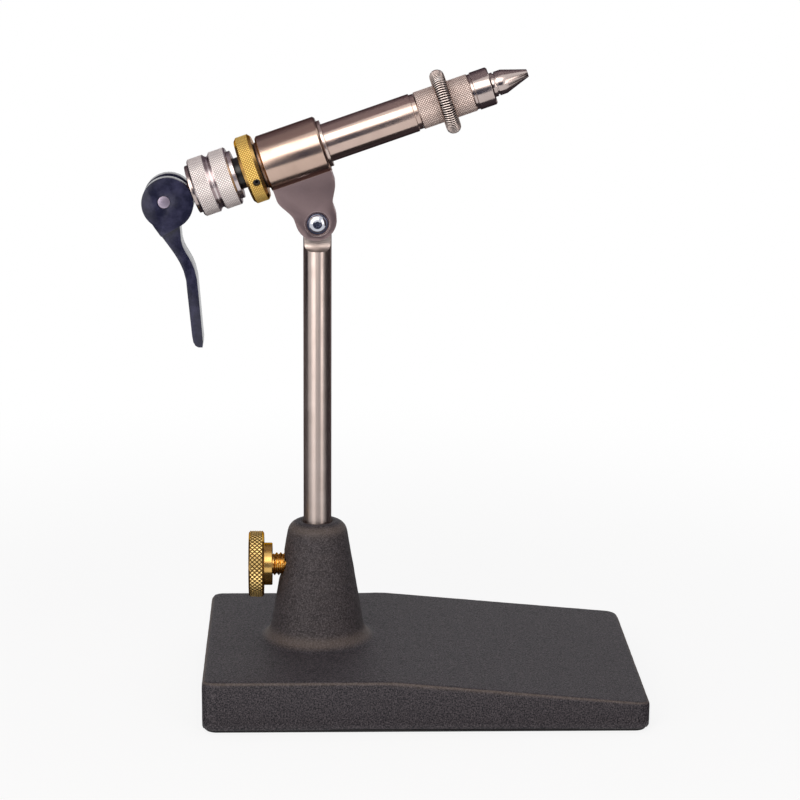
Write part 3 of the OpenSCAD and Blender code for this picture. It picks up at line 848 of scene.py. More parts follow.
@dataclass(frozen=True)
class AnodisedBlack(Finish):
    """Metal with a black film: deep black with a clear, slightly soft gloss and faint rubbing."""

    wear_and_sheen: str
    ior: float = 1.5
    rub_size: float = 5.0
    rub_rise: Point2 = (0.42, 0.68)
    glossier: float = 0.08
    duller: float = 0.1

    def dress(self, tree: bpy.types.NodeTree, shader: bpy.types.Node, spot: bpy.types.NodeSocket) -> None:
        """Adds the film's gloss and faint rubbing.

        Args:
            tree: The material's nodes.
            shader: Its principled shader.
            spot: The piece's own coordinates.
        """
        rub = add(tree, "TexNoise", {
            "Vector": spot, "Scale": PER_MM / self.rub_size, "Detail": 5.0, "Roughness": 0.65,
        })
        share = add(tree, "MapRange", {
            "Value": rub, "From Min": self.rub_rise[0], "From Max": self.rub_rise[1],
        })
        colour = add(tree, "Mix", {
            SHARE: share, COLOUR_A: linear(self.colour), COLOUR_B: linear(self.wear_and_sheen),
        }, data_type="RGBA")
        gloss = add(tree, "MapRange", {
            "Value": rub, "To Min": self.roughness - self.glossier, "To Max": self.roughness + self.duller,
        })
        set_inputs(tree, shader, {
            "Base Color": colour.outputs[COLOUR_OUT], "IOR": self.ior, "Roughness": gloss,
        })


@dataclass(frozen=True)
class MouldedPlastic(Finish):
    """Nylon or rubber from a mould: one even colour under a fine, slightly uneven skin."""

    shade: str
    pebble: float = 0.6
    pebble_depth: float = 0.02

    def dress(self, tree: bpy.types.NodeTree, shader: bpy.types.Node, spot: bpy.types.NodeSocket) -> None:
        """Adds the skin's pebbles and its slight shading.

        Args:
            tree: The material's nodes.
            shader: Its principled shader.
            spot: The piece's own coordinates.
        """
        pebbles = add(tree, "TexNoise", {"Vector": spot, "Scale": PER_MM / self.pebble, "Detail": 3.0})
        colour = add(tree, "Mix", {
            SHARE: pebbles, COLOUR_A: linear(self.colour), COLOUR_B: linear(self.shade),
        }, data_type="RGBA")
        bump = add(tree, "Bump", {"Height": pebbles, "Strength": 1.0, "Distance": self.pebble_depth * MM})
        set_inputs(tree, shader, {"Base Color": colour.outputs[COLOUR_OUT], "Normal": bump})


# Oven-baked wrinkle enamel on cast iron: nearly black, with lighter grains painted as glints on the crests
# and a paler, browner painted highlight over its edges
COAT = WrinkleCoat("black wrinkle enamel", "#0a0a12", 0.62, "#5a5458", "#77695f")
# Die-cut sheet rubber: matt black with a fine pebbled skin
PAD_RUBBER = MouldedPlastic("black sheet rubber", "#161617", 0.8, "#232325")
# Turned nylon, left white: soft ivory with hardly any gloss
NYLON = MouldedPlastic("natural nylon", "#e8e4d8", 0.4, "#dcd7c8", pebble=0.8, pebble_depth=0.01)
# Moulded black nylon: a deep, even black with a soft sheen
BLACK_NYLON = MouldedPlastic("black nylon", "#0b0b0d", 0.3, "#121215", pebble=0.5, pebble_depth=0.01)
# Centreless-ground stainless bar: rings too fine to see draw the light out into long streaks
STEM_STEEL = TurnedMetal(
    "ground stainless steel", "#bcaea8", 0.33, "#a89891", "#6a6266", axis=STEM_AXIS, point=STEM_POINT,
    stretch=0.93,
)
# Turned and polished stainless tube: shorter streaks than the bar's, brighter and sharper
TUBE_STEEL = TurnedMetal("polished stainless steel", "#ccb5aa", 0.2, "#b9a298", "#7d7479", stretch=0.55)
# Stainless turned on a lathe and buffed: warm grey with soft streaks along the barrel
BARREL_STEEL = TurnedMetal("buffed stainless steel", "#c8ae9f", 0.22, "#b39a8c", "#786c70", stretch=0.55)
# Milled stainless, dulled with fine grit: one soft tone on each flat face
WEB_STEEL = SatinMetal("satin stainless steel", "#917d7e", 0.32, "#837071", "#a0949a")
# The web's rounded edges, painted paler and glossier as a highlight: a thin light line round the dull faces
EDGE_HIGHLIGHT_STEEL = Metal(
    "stainless edge with painted highlight", "#e6d8d6", 0.3, "#d4c5c3", "#b8acae",
    cloud_size=3.0, cloud_share=0.3, spread=0.03,
)
# Hardened steel turned to a bright finish: strong, clean highlights
BRIGHT_STEEL = TurnedMetal("bright turned steel", "#c2b3ae", 0.18, "#b0a19c", "#787076", stretch=0.5)
# Stainless with a rolled diamond knurl: a grid of pale points over grooves painted brown-grey with shade and
# dirt
KNURLED_STEEL = KnurledMetal(
    "knurled stainless steel", "#f0ded5", 0.34, "#e2cfc6", "#a89a98", groove="#7f6b65",
)
# Aluminium with a rolled knurl under a clear anodic film: nearly white points with painted grey shade and
# dirt between them
KNOB_ALUMINIUM = KnurledMetal(
    "clear anodised aluminium", "#fffaf6", 0.4, "#f8efec", "#c4bbbd", groove="#a69899",
)
# The same aluminium where it is turned smooth: pale, with soft streaks along the axis
RIM_ALUMINIUM = TurnedMetal("turned aluminium", "#d6cbcc", 0.24, "#c4b8ba", "#8a8286")
# Brass with a fine rolled knurl: straw-yellow points over grooves painted brown with shade and dirt
RING_KNURL = KnurledMetal("knurled brass", "#ffdf84", 0.36, "#ffd070", "#b8935a", groove="#9a6a22")
# Brass with a coarse, deep knurl: clean yellow points over grooves painted nearly black with shade and dirt
THUMB_KNURL = KnurledMetal(
    "knurled screw brass", "#ffdc90", 0.34, "#f8cc7c", "#b08c56", mirror=0.75, groove="#321d05",
    axis=THUMB_AXIS, point=THUMB_POINT,
)
# Brass turned smooth: yellow with soft streaks, a little brown where it is handled
RING_BRASS = TurnedMetal("turned brass", "#ecc078", 0.26, "#c99c50", "#9c7a46")
# The same brass on the thumbscrew: its streaks run along the screw, and it is a little duller
THUMB_BRASS = TurnedMetal(
    "turned screw brass", "#dcb26a", 0.26, "#c99c50", "#9c7a46", axis=THUMB_AXIS, point=THUMB_POINT,
)
# Chrome plate over a domed screw: a small sharp mirror, slightly blue
CHROME = Metal(
    "bright chrome plate", "#c4c6d0", 0.08, "#b0b3c0", "#70727c",
    cloud_size=2.0, cloud_share=0.3, spread=0.02,
)
# Sintered bronze, turned: dull brown metal with broad, faint streaks
BUSH_BRONZE = TurnedMetal("sintered bronze", "#a18676", 0.36, "#8b7263", "#6a584f", stretch=0.5)
# Steel turned bright round the front bushing's flange: a pale ring with a light edge
FLANGE_STEEL = TurnedMetal("bright turned flange", "#d4c2b9", 0.24, "#c2b0a7", "#8a7f80", stretch=0.5)
# Nickelled spring wire: small bright glints along each curl
SPRING_NICKEL = Metal(
    "nickelled spring wire", "#dccac2", 0.18, "#cbb8b0", "#80746f",
    cloud_size=1.5, cloud_share=0.4, spread=0.03,
)
# The same wire in the clip's ring: bars painted brighter than the return spring's wire as a highlight, with
# painted shade in the gaps between the curls
CLIP_NICKEL = CoiledMetal(
    "nickelled clip wire", "#fff0e8", 0.2, "#f0ddd4", "#94867f", cloud_size=1.5, cloud_share=0.4, spread=0.03,
    painted_gap_shade="#493736",
)
# Ground steel pin, cut flat at its end: one even pale face
PIN_STEEL = Metal(
    "bright pin steel", "#b8abbd", 0.3, "#a89bac", "#7a7280",
    cloud_size=2.0, cloud_share=0.3, spread=0.03,
)
# Blackened steel: black with a soft oily gloss
SCREW_BLACK = AnodisedBlack("blackened screw steel", "#121214", 0.4, "#222226")
# Aluminium dyed black: blue-black with clear highlights along its rounded edges
LEVER_BLACK = AnodisedBlack("black anodised aluminium", "#191a30", 0.2, "#34344e")


class Body(Enum):
    """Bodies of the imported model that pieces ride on."""

    BASE = "base"
    THUMBSCREW = "thumbscrew"
    STEM = "stem"
    HEAD = "head"
    SPINDLE = "spindle"
    RING = "tension_ring"
    THRUST = "thrust_washer"
    KNOB = "adjusting_knob"
    DRAWBAR = "drawbar"
    LEVER = "cam_lever"
    NEAR_JAW = "near_jaw"
    FAR_JAW = "far_jaw"


class Slot(Enum):
    """Material slots of the record."""

    COAT = "wrinkle_coat"
    RUBBER = "pad_rubber"
    BRASS = "brass"
    STEM = "stainless_stem"
    HEAD = "stainless_head"
    KNURLED = "knurled_steel"
    BRONZE = "bronze"
    CHROME = "chrome"
    BRIGHT = "bright_steel"
    SPRING = "spring_nickel"
    KNOB = "knob_aluminium"
    ANODISED = "black_anodised"


# Angles in degrees above which an edge is sharp: on knurls, on the pivot screw, and on wire and the casting
KNURL_CREASE = 24.0
SCREW_CREASE = 40.0
SKIN_CREASE = 60.0


class SubAssembly:
    """Pieces that are made together."""

    def place(
        self, name: str, made: Shape | bpy.types.Mesh, finishes: Sequence[Finish], body: Body, slot: Slot,
        *nodes: str, crease: float = 30.0,
    ) -> bpy.types.Object:
        """Adds a piece to the scene in place of CAD nodes.

        Args:
            name: Name of the piece.
            made: Its shape or mesh, in the world's place.
            finishes: Its finishes, in the order of its face groups.
            body: Body that it rides on.
            slot: Not used.
            nodes: CAD nodes that it stands for.
            crease: Angle in degrees above which an edge is sharp.

        Returns:
            The piece.
        """
        mesh = made.mesh(name) if isinstance(made, Shape) else made
        mesh.name = name
        for finish in finishes:
            mesh.materials.append(finish.material())
        mesh.shade_smooth()
        mesh.set_sharp_from_angle(angle=math.radians(crease))
        piece = bpy.data.objects.new(name, mesh)
        bpy.context.scene.collection.objects.link(piece)
        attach(piece, body.value)
        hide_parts(*nodes)
        log.info("%s: %s, %d faces", type(self).__name__, name, len(mesh.polygons))
        return piece

    def keep(self, finish: Finish, *nodes: str) -> None:
        """Gives CAD nodes a finish and leaves their shapes.

        Args:
            finish: The finish.
            nodes: Names of the nodes.
        """
        for node in nodes:
            for slot in bpy.data.objects[node].material_slots:
                slot.material = finish.material()
            log.info("%s: %s keeps its shape", type(self).__name__, node)

    def build(self) -> None:
        """Makes the sub-assembly's pieces."""
        raise NotImplementedError


@dataclass
class Pedestal(SubAssembly):
    """The cast base with its boss, and the rubber pad under it."""

    length: float = 148.7
    depth: float = 100.0
    stem_inset: float = 38.4
    top_z: float = 17.7
    toe_z: float = 10.1
    slope_x: float = 24.2
    pad_t: float = 0.8
    pad_inset: float = 1.2
    pad_corner_r: float = 3.9
    pad_corner_steps: int = 8
    pad_edge: float = 0.2
    skin_step: float = 0.95
    softening: int = 4
    lump: float = 4.5
    lump_h: float = 0.09
    small_lump_share: float = 0.3
    small_lump_times: float = 3.1

    def build(self) -> None:
        """Makes the casting and the pad."""
        self.place(
            "pedestal_casting", self.casting(), [COAT], Body.BASE, Slot.COAT, "base_casting",
            crease=SKIN_CREASE,
        )
        self.place("pedestal_pad", self.pad(), [PAD_RUBBER], Body.BASE, Slot.RUBBER, "base_pad")

    def slope_share(self, x: float) -> float:
        """The top's height at one place, as a share of its height at the heel.

        Args:
            x: The place along the base, in metres from the stem's axis.

        Returns:
            The share, 1 up to the start of the slope.
        """
        run = (x * PER_MM - self.slope_x) / (self.length - self.stem_inset - self.slope_x)
        return 1 - max(0.0, run) * (1 - self.toe_z / self.top_z)

    def casting(self) -> bpy.types.Mesh:
        """The casting's skin: the CAD form with soft edges and the slight waves that enamel leaves.

        Returns:
            The mesh.
        """
        mesh = bpy.data.objects["base_casting"].data.copy()
        mesh.materials.clear()
        tidy_mesh(mesh)
        form = BVHTree.FromPolygons([p.co for p in mesh.vertices], [face.vertices for face in mesh.polygons])
        # The remesh keeps straight edges only along its own grid, so the slope is levelled for it
        for point in mesh.vertices:
            point.co.z /= self.slope_share(point.co.x)
        mesh = with_modifier(mesh, "REMESH", mode="VOXEL", voxel_size=self.skin_step * MM)
        for point in mesh.vertices:
            point.co.z *= self.slope_share(point.co.x)
            point.co = form.find_nearest(point.co)[0]
        mesh = with_modifier(mesh, "SMOOTH", factor=0.5, iterations=self.softening)
        sunk = []
        for point in mesh.vertices:
            spot = point.co * PER_MM / self.lump
            small = self.small_lump_share * noise.noise(spot * self.small_lump_times)
            wave = 0.5 + 0.5 * noise.noise(spot) + small
            sunk.append(point.co - point.normal * max(0.0, wave) * self.lump_h * MM)
        for point, place in zip(mesh.vertices, sunk):
            point.co = place
        return mesh

    def pad(self) -> Shape:
        """The pad, with its edges a little rounded.

        Returns:
            The shape.
        """
        low = Vector((self.pad_inset - self.stem_inset, self.pad_inset - self.depth / 2))
        high = Vector((self.length - self.stem_inset - self.pad_inset, self.depth / 2 - self.pad_inset))
        r, steps = self.pad_corner_r, self.pad_corner_steps
        left, right, front, back = low.x + r, high.x - r, low.y + r, high.y - r
        outline = []
        for i, (x, y) in enumerate([(left, front), (right, front), (right, back), (left, back)]):
            for k in range(steps + 1):
                angle = math.pi * (1 + i / 2) + math.pi / 2 * k / steps
                outline.append((x + r * math.cos(angle), y + r * math.sin(angle)))
        return Shape.plate(outline, 0.0, self.pad_t, self.pad_edge)


@dataclass
class StemClamp(SubAssembly):
    """The brass thumbscrew with its soft tip."""

    end_x: float = 6.56
    bore_r: float = 1.55
    bore_l: float = 2.8
    thread_r: float = 3.97
    thread_h: float = 0.62
    lead: float = 1.411
    lead_rows: int = 12
    lead_in: float = 0.5
    lead_out: float = 0.4
    runout: float = 0.2
    neck_x: float = 15.5
    neck_r: float = 7.3
    neck_ease: float = 0.35
    head_x: float = 18.4
    head_r: float = 11.4
    head_t: float = 5.2
    edge: float = 0.6
    knurl_lip: float = 0.05
    dish_share: float = 0.7
    dish_floor_share: float = 0.66
    dish_h: float = 0.25
    dish_ease: float = 0.15
    knurl_pitch: float = 1.5
    knurl_h: float = 0.34
    points_round: int = 92

    def build(self) -> None:
        """Makes the screw and dresses its tip."""
        place = Matrix.Translation((0, 0, THUMB_Z)) @ Matrix.Rotation(math.pi, 4, "Z")
        self.place(
            "brass_thumbscrew", self.screw().moved(place),
            [THUMB_BRASS, THUMB_KNURL.on(self.head_r, self.knurl_h)],
            Body.THUMBSCREW, Slot.BRASS, "thumbscrew", crease=KNURL_CREASE,
        )
        self.keep(NYLON, "screw_tip")

    def screw(self) -> Shape:
        """The screw along its own axis, from the hole for the tip to the outer face of the head.

        Returns:
            The shape.
        """
        out = self.head_x + self.head_t
        root = self.thread_r - self.thread_h
        thread_start, thread_end = self.end_x + self.lead_in, self.neck_x - self.lead_out
        lip_r = self.head_r - self.knurl_lip
        rows = plain([
            (self.end_x + self.bore_l, 0.0), (self.end_x + self.bore_l, self.bore_r),
            (self.end_x, self.bore_r),
            (self.end_x, root), (thread_start - self.runout, root),
        ])
        rows += thread(thread_start, thread_end, self.thread_r, self.thread_h, self.lead, self.lead_rows)
        rows += plain(eased([
            (thread_end + self.runout, root), (self.neck_x, root), (self.neck_x, self.neck_r),
            (self.head_x, self.neck_r), (self.head_x, self.head_r - self.edge),
            (self.head_x + self.edge - self.knurl_lip, lip_r),
        ], self.neck_ease))
        rows += knurl(self.head_x + self.edge, out - self.edge, self.head_r, self.knurl_h, self.knurl_pitch)
        rows += plain(eased([
            (out - self.edge + self.knurl_lip, lip_r), (out, self.head_r - self.edge),
            (out, self.dish_share * self.head_r), (out - self.dish_h, self.dish_floor_share * self.head_r),
            (out - self.dish_h, 0.0),
        ], self.dish_ease))
        return Shape.turned(rows, self.points_round)


@dataclass
class Stem(SubAssembly):
    """The stem with its flat tang, on its glide."""

    edge: float = 0.22

    def build(self) -> None:
        """Makes the stem and dresses the glide."""
        self.place("stem_bar", softened("stem", self.edge), [STEM_STEEL], Body.STEM, Slot.STEM, "stem")
        self.keep(NYLON, "stem_glide")


@dataclass
class Housing(SubAssembly):
    """The head's housing with its bushings and the pivot screw."""

    edge: float = 0.65
    web_top: float = 15.3
    edge_low: float = 0.15
    edge_high: float = 0.98
    web_half: float = 4.75
    bore_r: float = 6.55
    bush_r: float = 7.6
    flange_r: float = 7.95
    face_u: float = 10.52
    rear_flange_t: float = 0.7
    front_flange_t: float = 1.15
    bush_l: float = 7.7
    bush_edge: float = 0.15
    bush_points: int = 96
    shank_r: float = 2.0
    screw_r: float = 3.65
    screw_seat: float = 3.45
    screw_h: float = 2.2
    screw_points: int = 48
    seat_edge: float = 0.1
    rim_h: float = 0.8
    rim_edge: float = 0.2
    dome_r: float = 3.1
    dome_steps: int = 10
    socket_r: float = 1.25
    socket_mouth_share: float = 1.25
    socket_edge: float = 0.15
    socket_h: float = 1.4

    def build(self) -> None:
        """Makes the housing's pieces."""
        self.place(
            "head_casting", self.housing(), [BARREL_STEEL, WEB_STEEL, EDGE_HIGHLIGHT_STEEL], Body.HEAD, Slot.HEAD,
            "head_housing",
        )
        self.place(
            "rear_bush", self.bush(-1, self.rear_flange_t), [BUSH_BRONZE], Body.HEAD, Slot.BRONZE,
            "rear_bushing",
        )
        self.place(
            "front_bush", self.bush(1, self.front_flange_t), [FLANGE_STEEL], Body.HEAD, Slot.BRONZE,
            "front_bushing",
        )
        self.place(
            "pivot_cap_screw", self.screw().moved(HEAD.place), [CHROME], Body.HEAD, Slot.CHROME,
            "pivot_screw", crease=SCREW_CREASE,
        )
        self.keep(NYLON, "pivot_washers")

    def housing(self) -> bpy.types.Mesh:
        """The housing with rounded edges, its web in the second face group and the web's edges, which take a
        painted highlight, in the third.

        Returns:
            The mesh.
        """
        mesh = softened("head_housing", self.edge)
        back = HEAD.place.inverted()
        for face in mesh.polygons:
            spot = back @ (face.center * PER_MM)
            if spot.z < self.web_top:
                # The web's rounded edges take the finish with the painted highlight
                face.material_index = 2 if self.edge_low < abs(face.normal.y) < self.edge_high else 1
        return mesh

    def bush(self, side: int, flange_t: float) -> Shape:
        """One bushing with its flange.

        Args:
            side: 1 at the front and -1 at the rear.
            flange_t: Thickness of its flange.

        Returns:
            The shape.
        """
        outer, seat = self.face_u + flange_t, self.face_u
        corners = eased([
            (seat - self.bush_l, self.bore_r), (seat - self.bush_l, self.bush_r), (seat, self.bush_r),
            (seat, self.flange_r), (outer, self.flange_r), (outer, self.bore_r),
        ], self.bush_edge)
        shape = Shape.turned(plain([(side * u, r) for u, r in corners]), self.bush_points, closed=True)
        return shape.moved(HEAD.on_axis)

    def screw(self) -> Shape:
        """The socket screw's domed head, hexagonal socket and shank, on the pivot's axis.

        Returns:
            The shape, in the head's frame.
        """
        n = self.screw_points
        turns = [math.tau * (k + 0.5) / n for k in range(n)]
        sector = math.tau / 6
        hexagon = [self.socket_r * math.cos(sector / 2) / math.cos((t % sector) - sector / 2) for t in turns]

        def loop(depth: float, reach: float | list[float]) -> list[Vector]:
            """Points round the screw's axis at one depth towards the near side.

            Args:
                depth: Distance from the middle of the head.
                reach: Distance from the axis, of all the points or of each.

            Returns:
                The points.
            """
            reaches = reach if isinstance(reach, list) else [reach] * n
            return [Vector((r * math.cos(t), -depth, r * math.sin(t))) for t, r in zip(turns, reaches)]

        seat, top, rim = self.screw_seat, self.screw_seat + self.screw_h, self.screw_seat + self.rim_h
        angles = [math.pi / 2 * i / self.dome_steps for i in range(self.dome_steps - 1)]
        return Shape.skin([
            loop(-self.web_half, self.shank_r), loop(seat, self.shank_r),
            loop(seat, self.screw_r - self.seat_edge),
            loop(seat + self.seat_edge, self.screw_r), loop(rim - self.rim_edge, self.screw_r),
            loop(rim, self.screw_r - self.rim_edge),
            *(loop(rim + (top - rim) * math.sin(a), self.dome_r * math.cos(a)) for a in angles),
            loop(top, self.socket_mouth_share * self.socket_r), loop(top - self.socket_edge, hexagon),
            loop(top - self.socket_h, hexagon),
        ])


@dataclass
class Spindle(SubAssembly):
    """The turning spindle: tube, knurled sleeve and nose."""

    seam: float = 0.02
    tube_r: float = 6.5
    tube_edge: float = 0.2
    neck_r: float = 6.05
    thread_r: float = 4.95
    rear_u: float = -32.57
    shoulder_u: float = -11.22
    front_u: float = 42.42
    sleeve_u: float = 43.92
    sleeve_l: float = 18.9
    sleeve_r: float = 6.4
    sleeve_edge: float = 0.35
    core_r: float = 5.0
    core_l: float = 14.4
    chamber_r: float = 4.3
    chamber_u: float = 19.75
    relief_r: float = 3.1
    guide_r: float = 2.45
    guide_l: float = 5.0
    groove: float = 0.85
    spigot_gap: float = 0.3
    nose_r: float = 6.45
    nose_l: float = 6.05
    nose_rear_edge: float = 0.2
    nose_front_edge: float = 0.45
    nose_ease: float = 0.12
    mouth_r: float = 4.25
    mouth_l: float = 5.9
    mouth_slope: float = 0.22
    throat_r: float = 3.85
    throat_l: float = 0.45
    throat_step: float = 1.1
    knurl_pitch: float = 0.96
    knurl_h: float = 0.15
    points_round: int = 84

    def build(self) -> None:
        """Makes the spindle's pieces and dresses its washer and seal."""
        self.place(
            "spindle_barrel", self.tube().moved(HEAD.on_axis), [TUBE_STEEL], Body.SPINDLE, Slot.HEAD,
            "spindle_tube",
        )
        self.place(
            "grip_sleeve", self.sleeve().moved(HEAD.on_axis),
            [TUBE_STEEL, KNURLED_STEEL.on(self.sleeve_r, self.knurl_h)],
            Body.SPINDLE, Slot.KNURLED, "knurled_sleeve", crease=KNURL_CREASE,
        )
        self.place(
            "nose_ring", self.nose().moved(HEAD.on_axis), [BRIGHT_STEEL], Body.SPINDLE, Slot.BRIGHT,
            "nose_collar",
        )
        self.keep(BLACK_NYLON, "friction_washer", "neck_seal")

    def tube(self) -> Shape:
        """The tube with its thread's land behind and its neck in front.

        Returns:
            The shape.
        """
        core_end, core_start = self.sleeve_u + self.core_l, self.sleeve_u - self.seam
        outside = eased([
            (self.rear_u, self.guide_r), (self.rear_u, self.thread_r), (self.shoulder_u, self.thread_r),
            (self.shoulder_u, self.tube_r), (self.front_u, self.tube_r), (self.front_u, self.neck_r),
            (core_start, self.neck_r), (core_start, self.core_r), (core_end, self.core_r),
        ], self.tube_edge)
        inside = [
            (core_end, self.chamber_r), (self.chamber_u, self.chamber_r), (self.chamber_u, self.relief_r),
            (self.rear_u + self.guide_l, self.relief_r), (self.rear_u + self.guide_l, self.guide_r),
        ]
        return Shape.turned(plain(outside + inside), ROUND, closed=True)

    def sleeve(self) -> Shape:
        """The knurled sleeve.

        Returns:
            The shape.
        """
        end, bore, edge = self.sleeve_u + self.sleeve_l, self.core_r + self.seam, self.sleeve_edge
        rows = plain([(self.sleeve_u, bore), (self.sleeve_u, self.sleeve_r - edge)])
        rows += knurl(self.sleeve_u + edge, end - edge, self.sleeve_r, self.knurl_h, self.knurl_pitch)
        rows += plain([(end, self.sleeve_r - edge), (end, bore)])
        return Shape.turned(rows, self.points_round, closed=True)

    def nose(self) -> Shape:
        """The nose collar with the tapered mouth that closes the jaws.

        Returns:
            The shape.
        """
        seat = self.sleeve_u + self.sleeve_l + self.seam
        back = seat + self.groove - self.seam
        end = back + self.nose_l
        spigot = self.sleeve_u + self.core_l + self.spigot_gap
        outside = eased([
            (spigot, self.chamber_r), (spigot, self.core_r), (seat, self.core_r), (seat, self.neck_r),
            (back, self.neck_r), (back, self.nose_r - self.nose_rear_edge),
            (back + self.nose_rear_edge, self.nose_r),
            (end - self.nose_front_edge, self.nose_r), (end, self.nose_r - self.nose_front_edge),
            (end, self.mouth_r),
        ], self.nose_ease)
        throat = end - self.mouth_l
        inside = [
            (throat, self.mouth_r - self.mouth_slope * self.mouth_l), (throat - self.throat_l, self.throat_r),
            (throat - self.throat_step, self.chamber_r),
        ]
        return Shape.turned(plain(outside + inside), ROUND, closed=True)


@dataclass
class MaterialSpring(SubAssembly):
    """The ring of closely coiled wire that holds loose ends of thread."""

    ring_r: float = 8.8
    coil_h: float = 2.0
    coil_w: float = 2.25
    wire_r: float = 0.23
    curls: int = 80
    steps: int = 16
    sides: int = 8
    place_u: float = 53.37

    def build(self) -> None:
        """Makes the spring."""
        n = self.curls * self.steps
        centres, hubs = [], []
        for i in range(n):
            turn, curl = math.tau * i / n, math.tau * i / self.steps
            out = Vector((0, math.cos(turn), math.sin(turn)))
            reach = self.ring_r + self.coil_h * math.cos(curl)
            centres.append(out * reach + Vector((self.coil_w * math.sin(curl), 0, 0)))
            hubs.append(out * self.ring_r)
        ring = Shape.wire(centres, hubs, self.wire_r, self.sides, closed=True)
        place = HEAD.on_axis @ Matrix.Translation((self.place_u, 0, 0))
        wire = CLIP_NICKEL.on(place.translation * MM, self.ring_r, self.coil_h, self.coil_w)
        self.place(
            "thread_clip", ring.moved(place), [wire], Body.SPINDLE, Slot.SPRING, "material_spring",
            crease=SKIN_CREASE,
        )


@dataclass
class TensionRing(SubAssembly):
    """The brass ring that sets how freely the spindle turns, with its set screw."""

    rear_u: float = -17.37
    width: float = 5.7
    radius: float = 11.5
    bore_r: float = 5.0
    bevel: float = 0.9
    edge: float = 0.1
    knurl_pitch: float = 0.98
    knurl_h: float = 0.16
    knurl_reach_share: float = 1.1
    hole_r: float = 1.27
    hole_span: Point2 = (4.0, 14.0)
    hole_points: int = 32
    hole_ahead: float = 0.55
    hole_dip: float = math.radians(18)
    points_round: int = 148

    def build(self) -> None:
        """Makes the ring and dresses its screw."""
        self.place(
            "brass_ring", self.ring(), [RING_BRASS, RING_KNURL.on(self.radius, self.knurl_h)],
            Body.RING, Slot.BRASS, "tension_ring", crease=KNURL_CREASE,
        )
        self.keep(SCREW_BLACK, "ring_screw")

    def ring(self) -> bpy.types.Mesh:
        """The knurled ring with the hole for its set screw.

        Returns:
            The mesh.
        """
        front, low = self.rear_u + self.width, self.radius - self.bevel
        rows = plain([
            (self.rear_u, self.bore_r), (self.rear_u, low - self.edge), (self.rear_u + self.edge, low),
        ])
        rows += knurl(
            self.rear_u + self.bevel, front - self.bevel, self.radius, self.knurl_h, self.knurl_pitch,
        )
        rows += plain([(front - self.edge, low), (front, low - self.edge), (front, self.bore_r)])
        mesh = Shape.turned(rows, self.points_round, closed=True).moved(HEAD.on_axis).mesh("brass_ring")
        inner, outer = self.hole_span
        drill = Shape.turned(plain([
            (inner, 0.0), (inner, self.hole_r), (outer, self.hole_r), (outer, 0.0),
        ]), self.hole_points)
        aim = Matrix.Rotation(-math.pi / 2, 4, "Z")
        dip = Matrix.Rotation(self.hole_dip, 4, "X")
        middle = Matrix.Translation((self.rear_u + self.width / 2 + self.hole_ahead, 0, 0))
        cutter = bpy.data.objects.new("drill", drill.moved(HEAD.on_axis @ middle @ dip @ aim).mesh("drill"))
        bpy.context.scene.collection.objects.link(cutter)
        mesh = with_modifier(mesh, "BOOLEAN", object=cutter, operation="DIFFERENCE", solver="EXACT")
        bpy.data.objects.remove(cutter)
        back = HEAD.on_axis.inverted()
        root = self.radius - self.knurl_reach_share * self.knurl_h
        for face in mesh.polygons:
            spot = back @ (face.center * PER_MM)
            knurled = self.bevel < spot.x - self.rear_u < self.width - self.bevel
            face.material_index = int(knurled and math.hypot(spot.y, spot.z) > root)
        return mesh


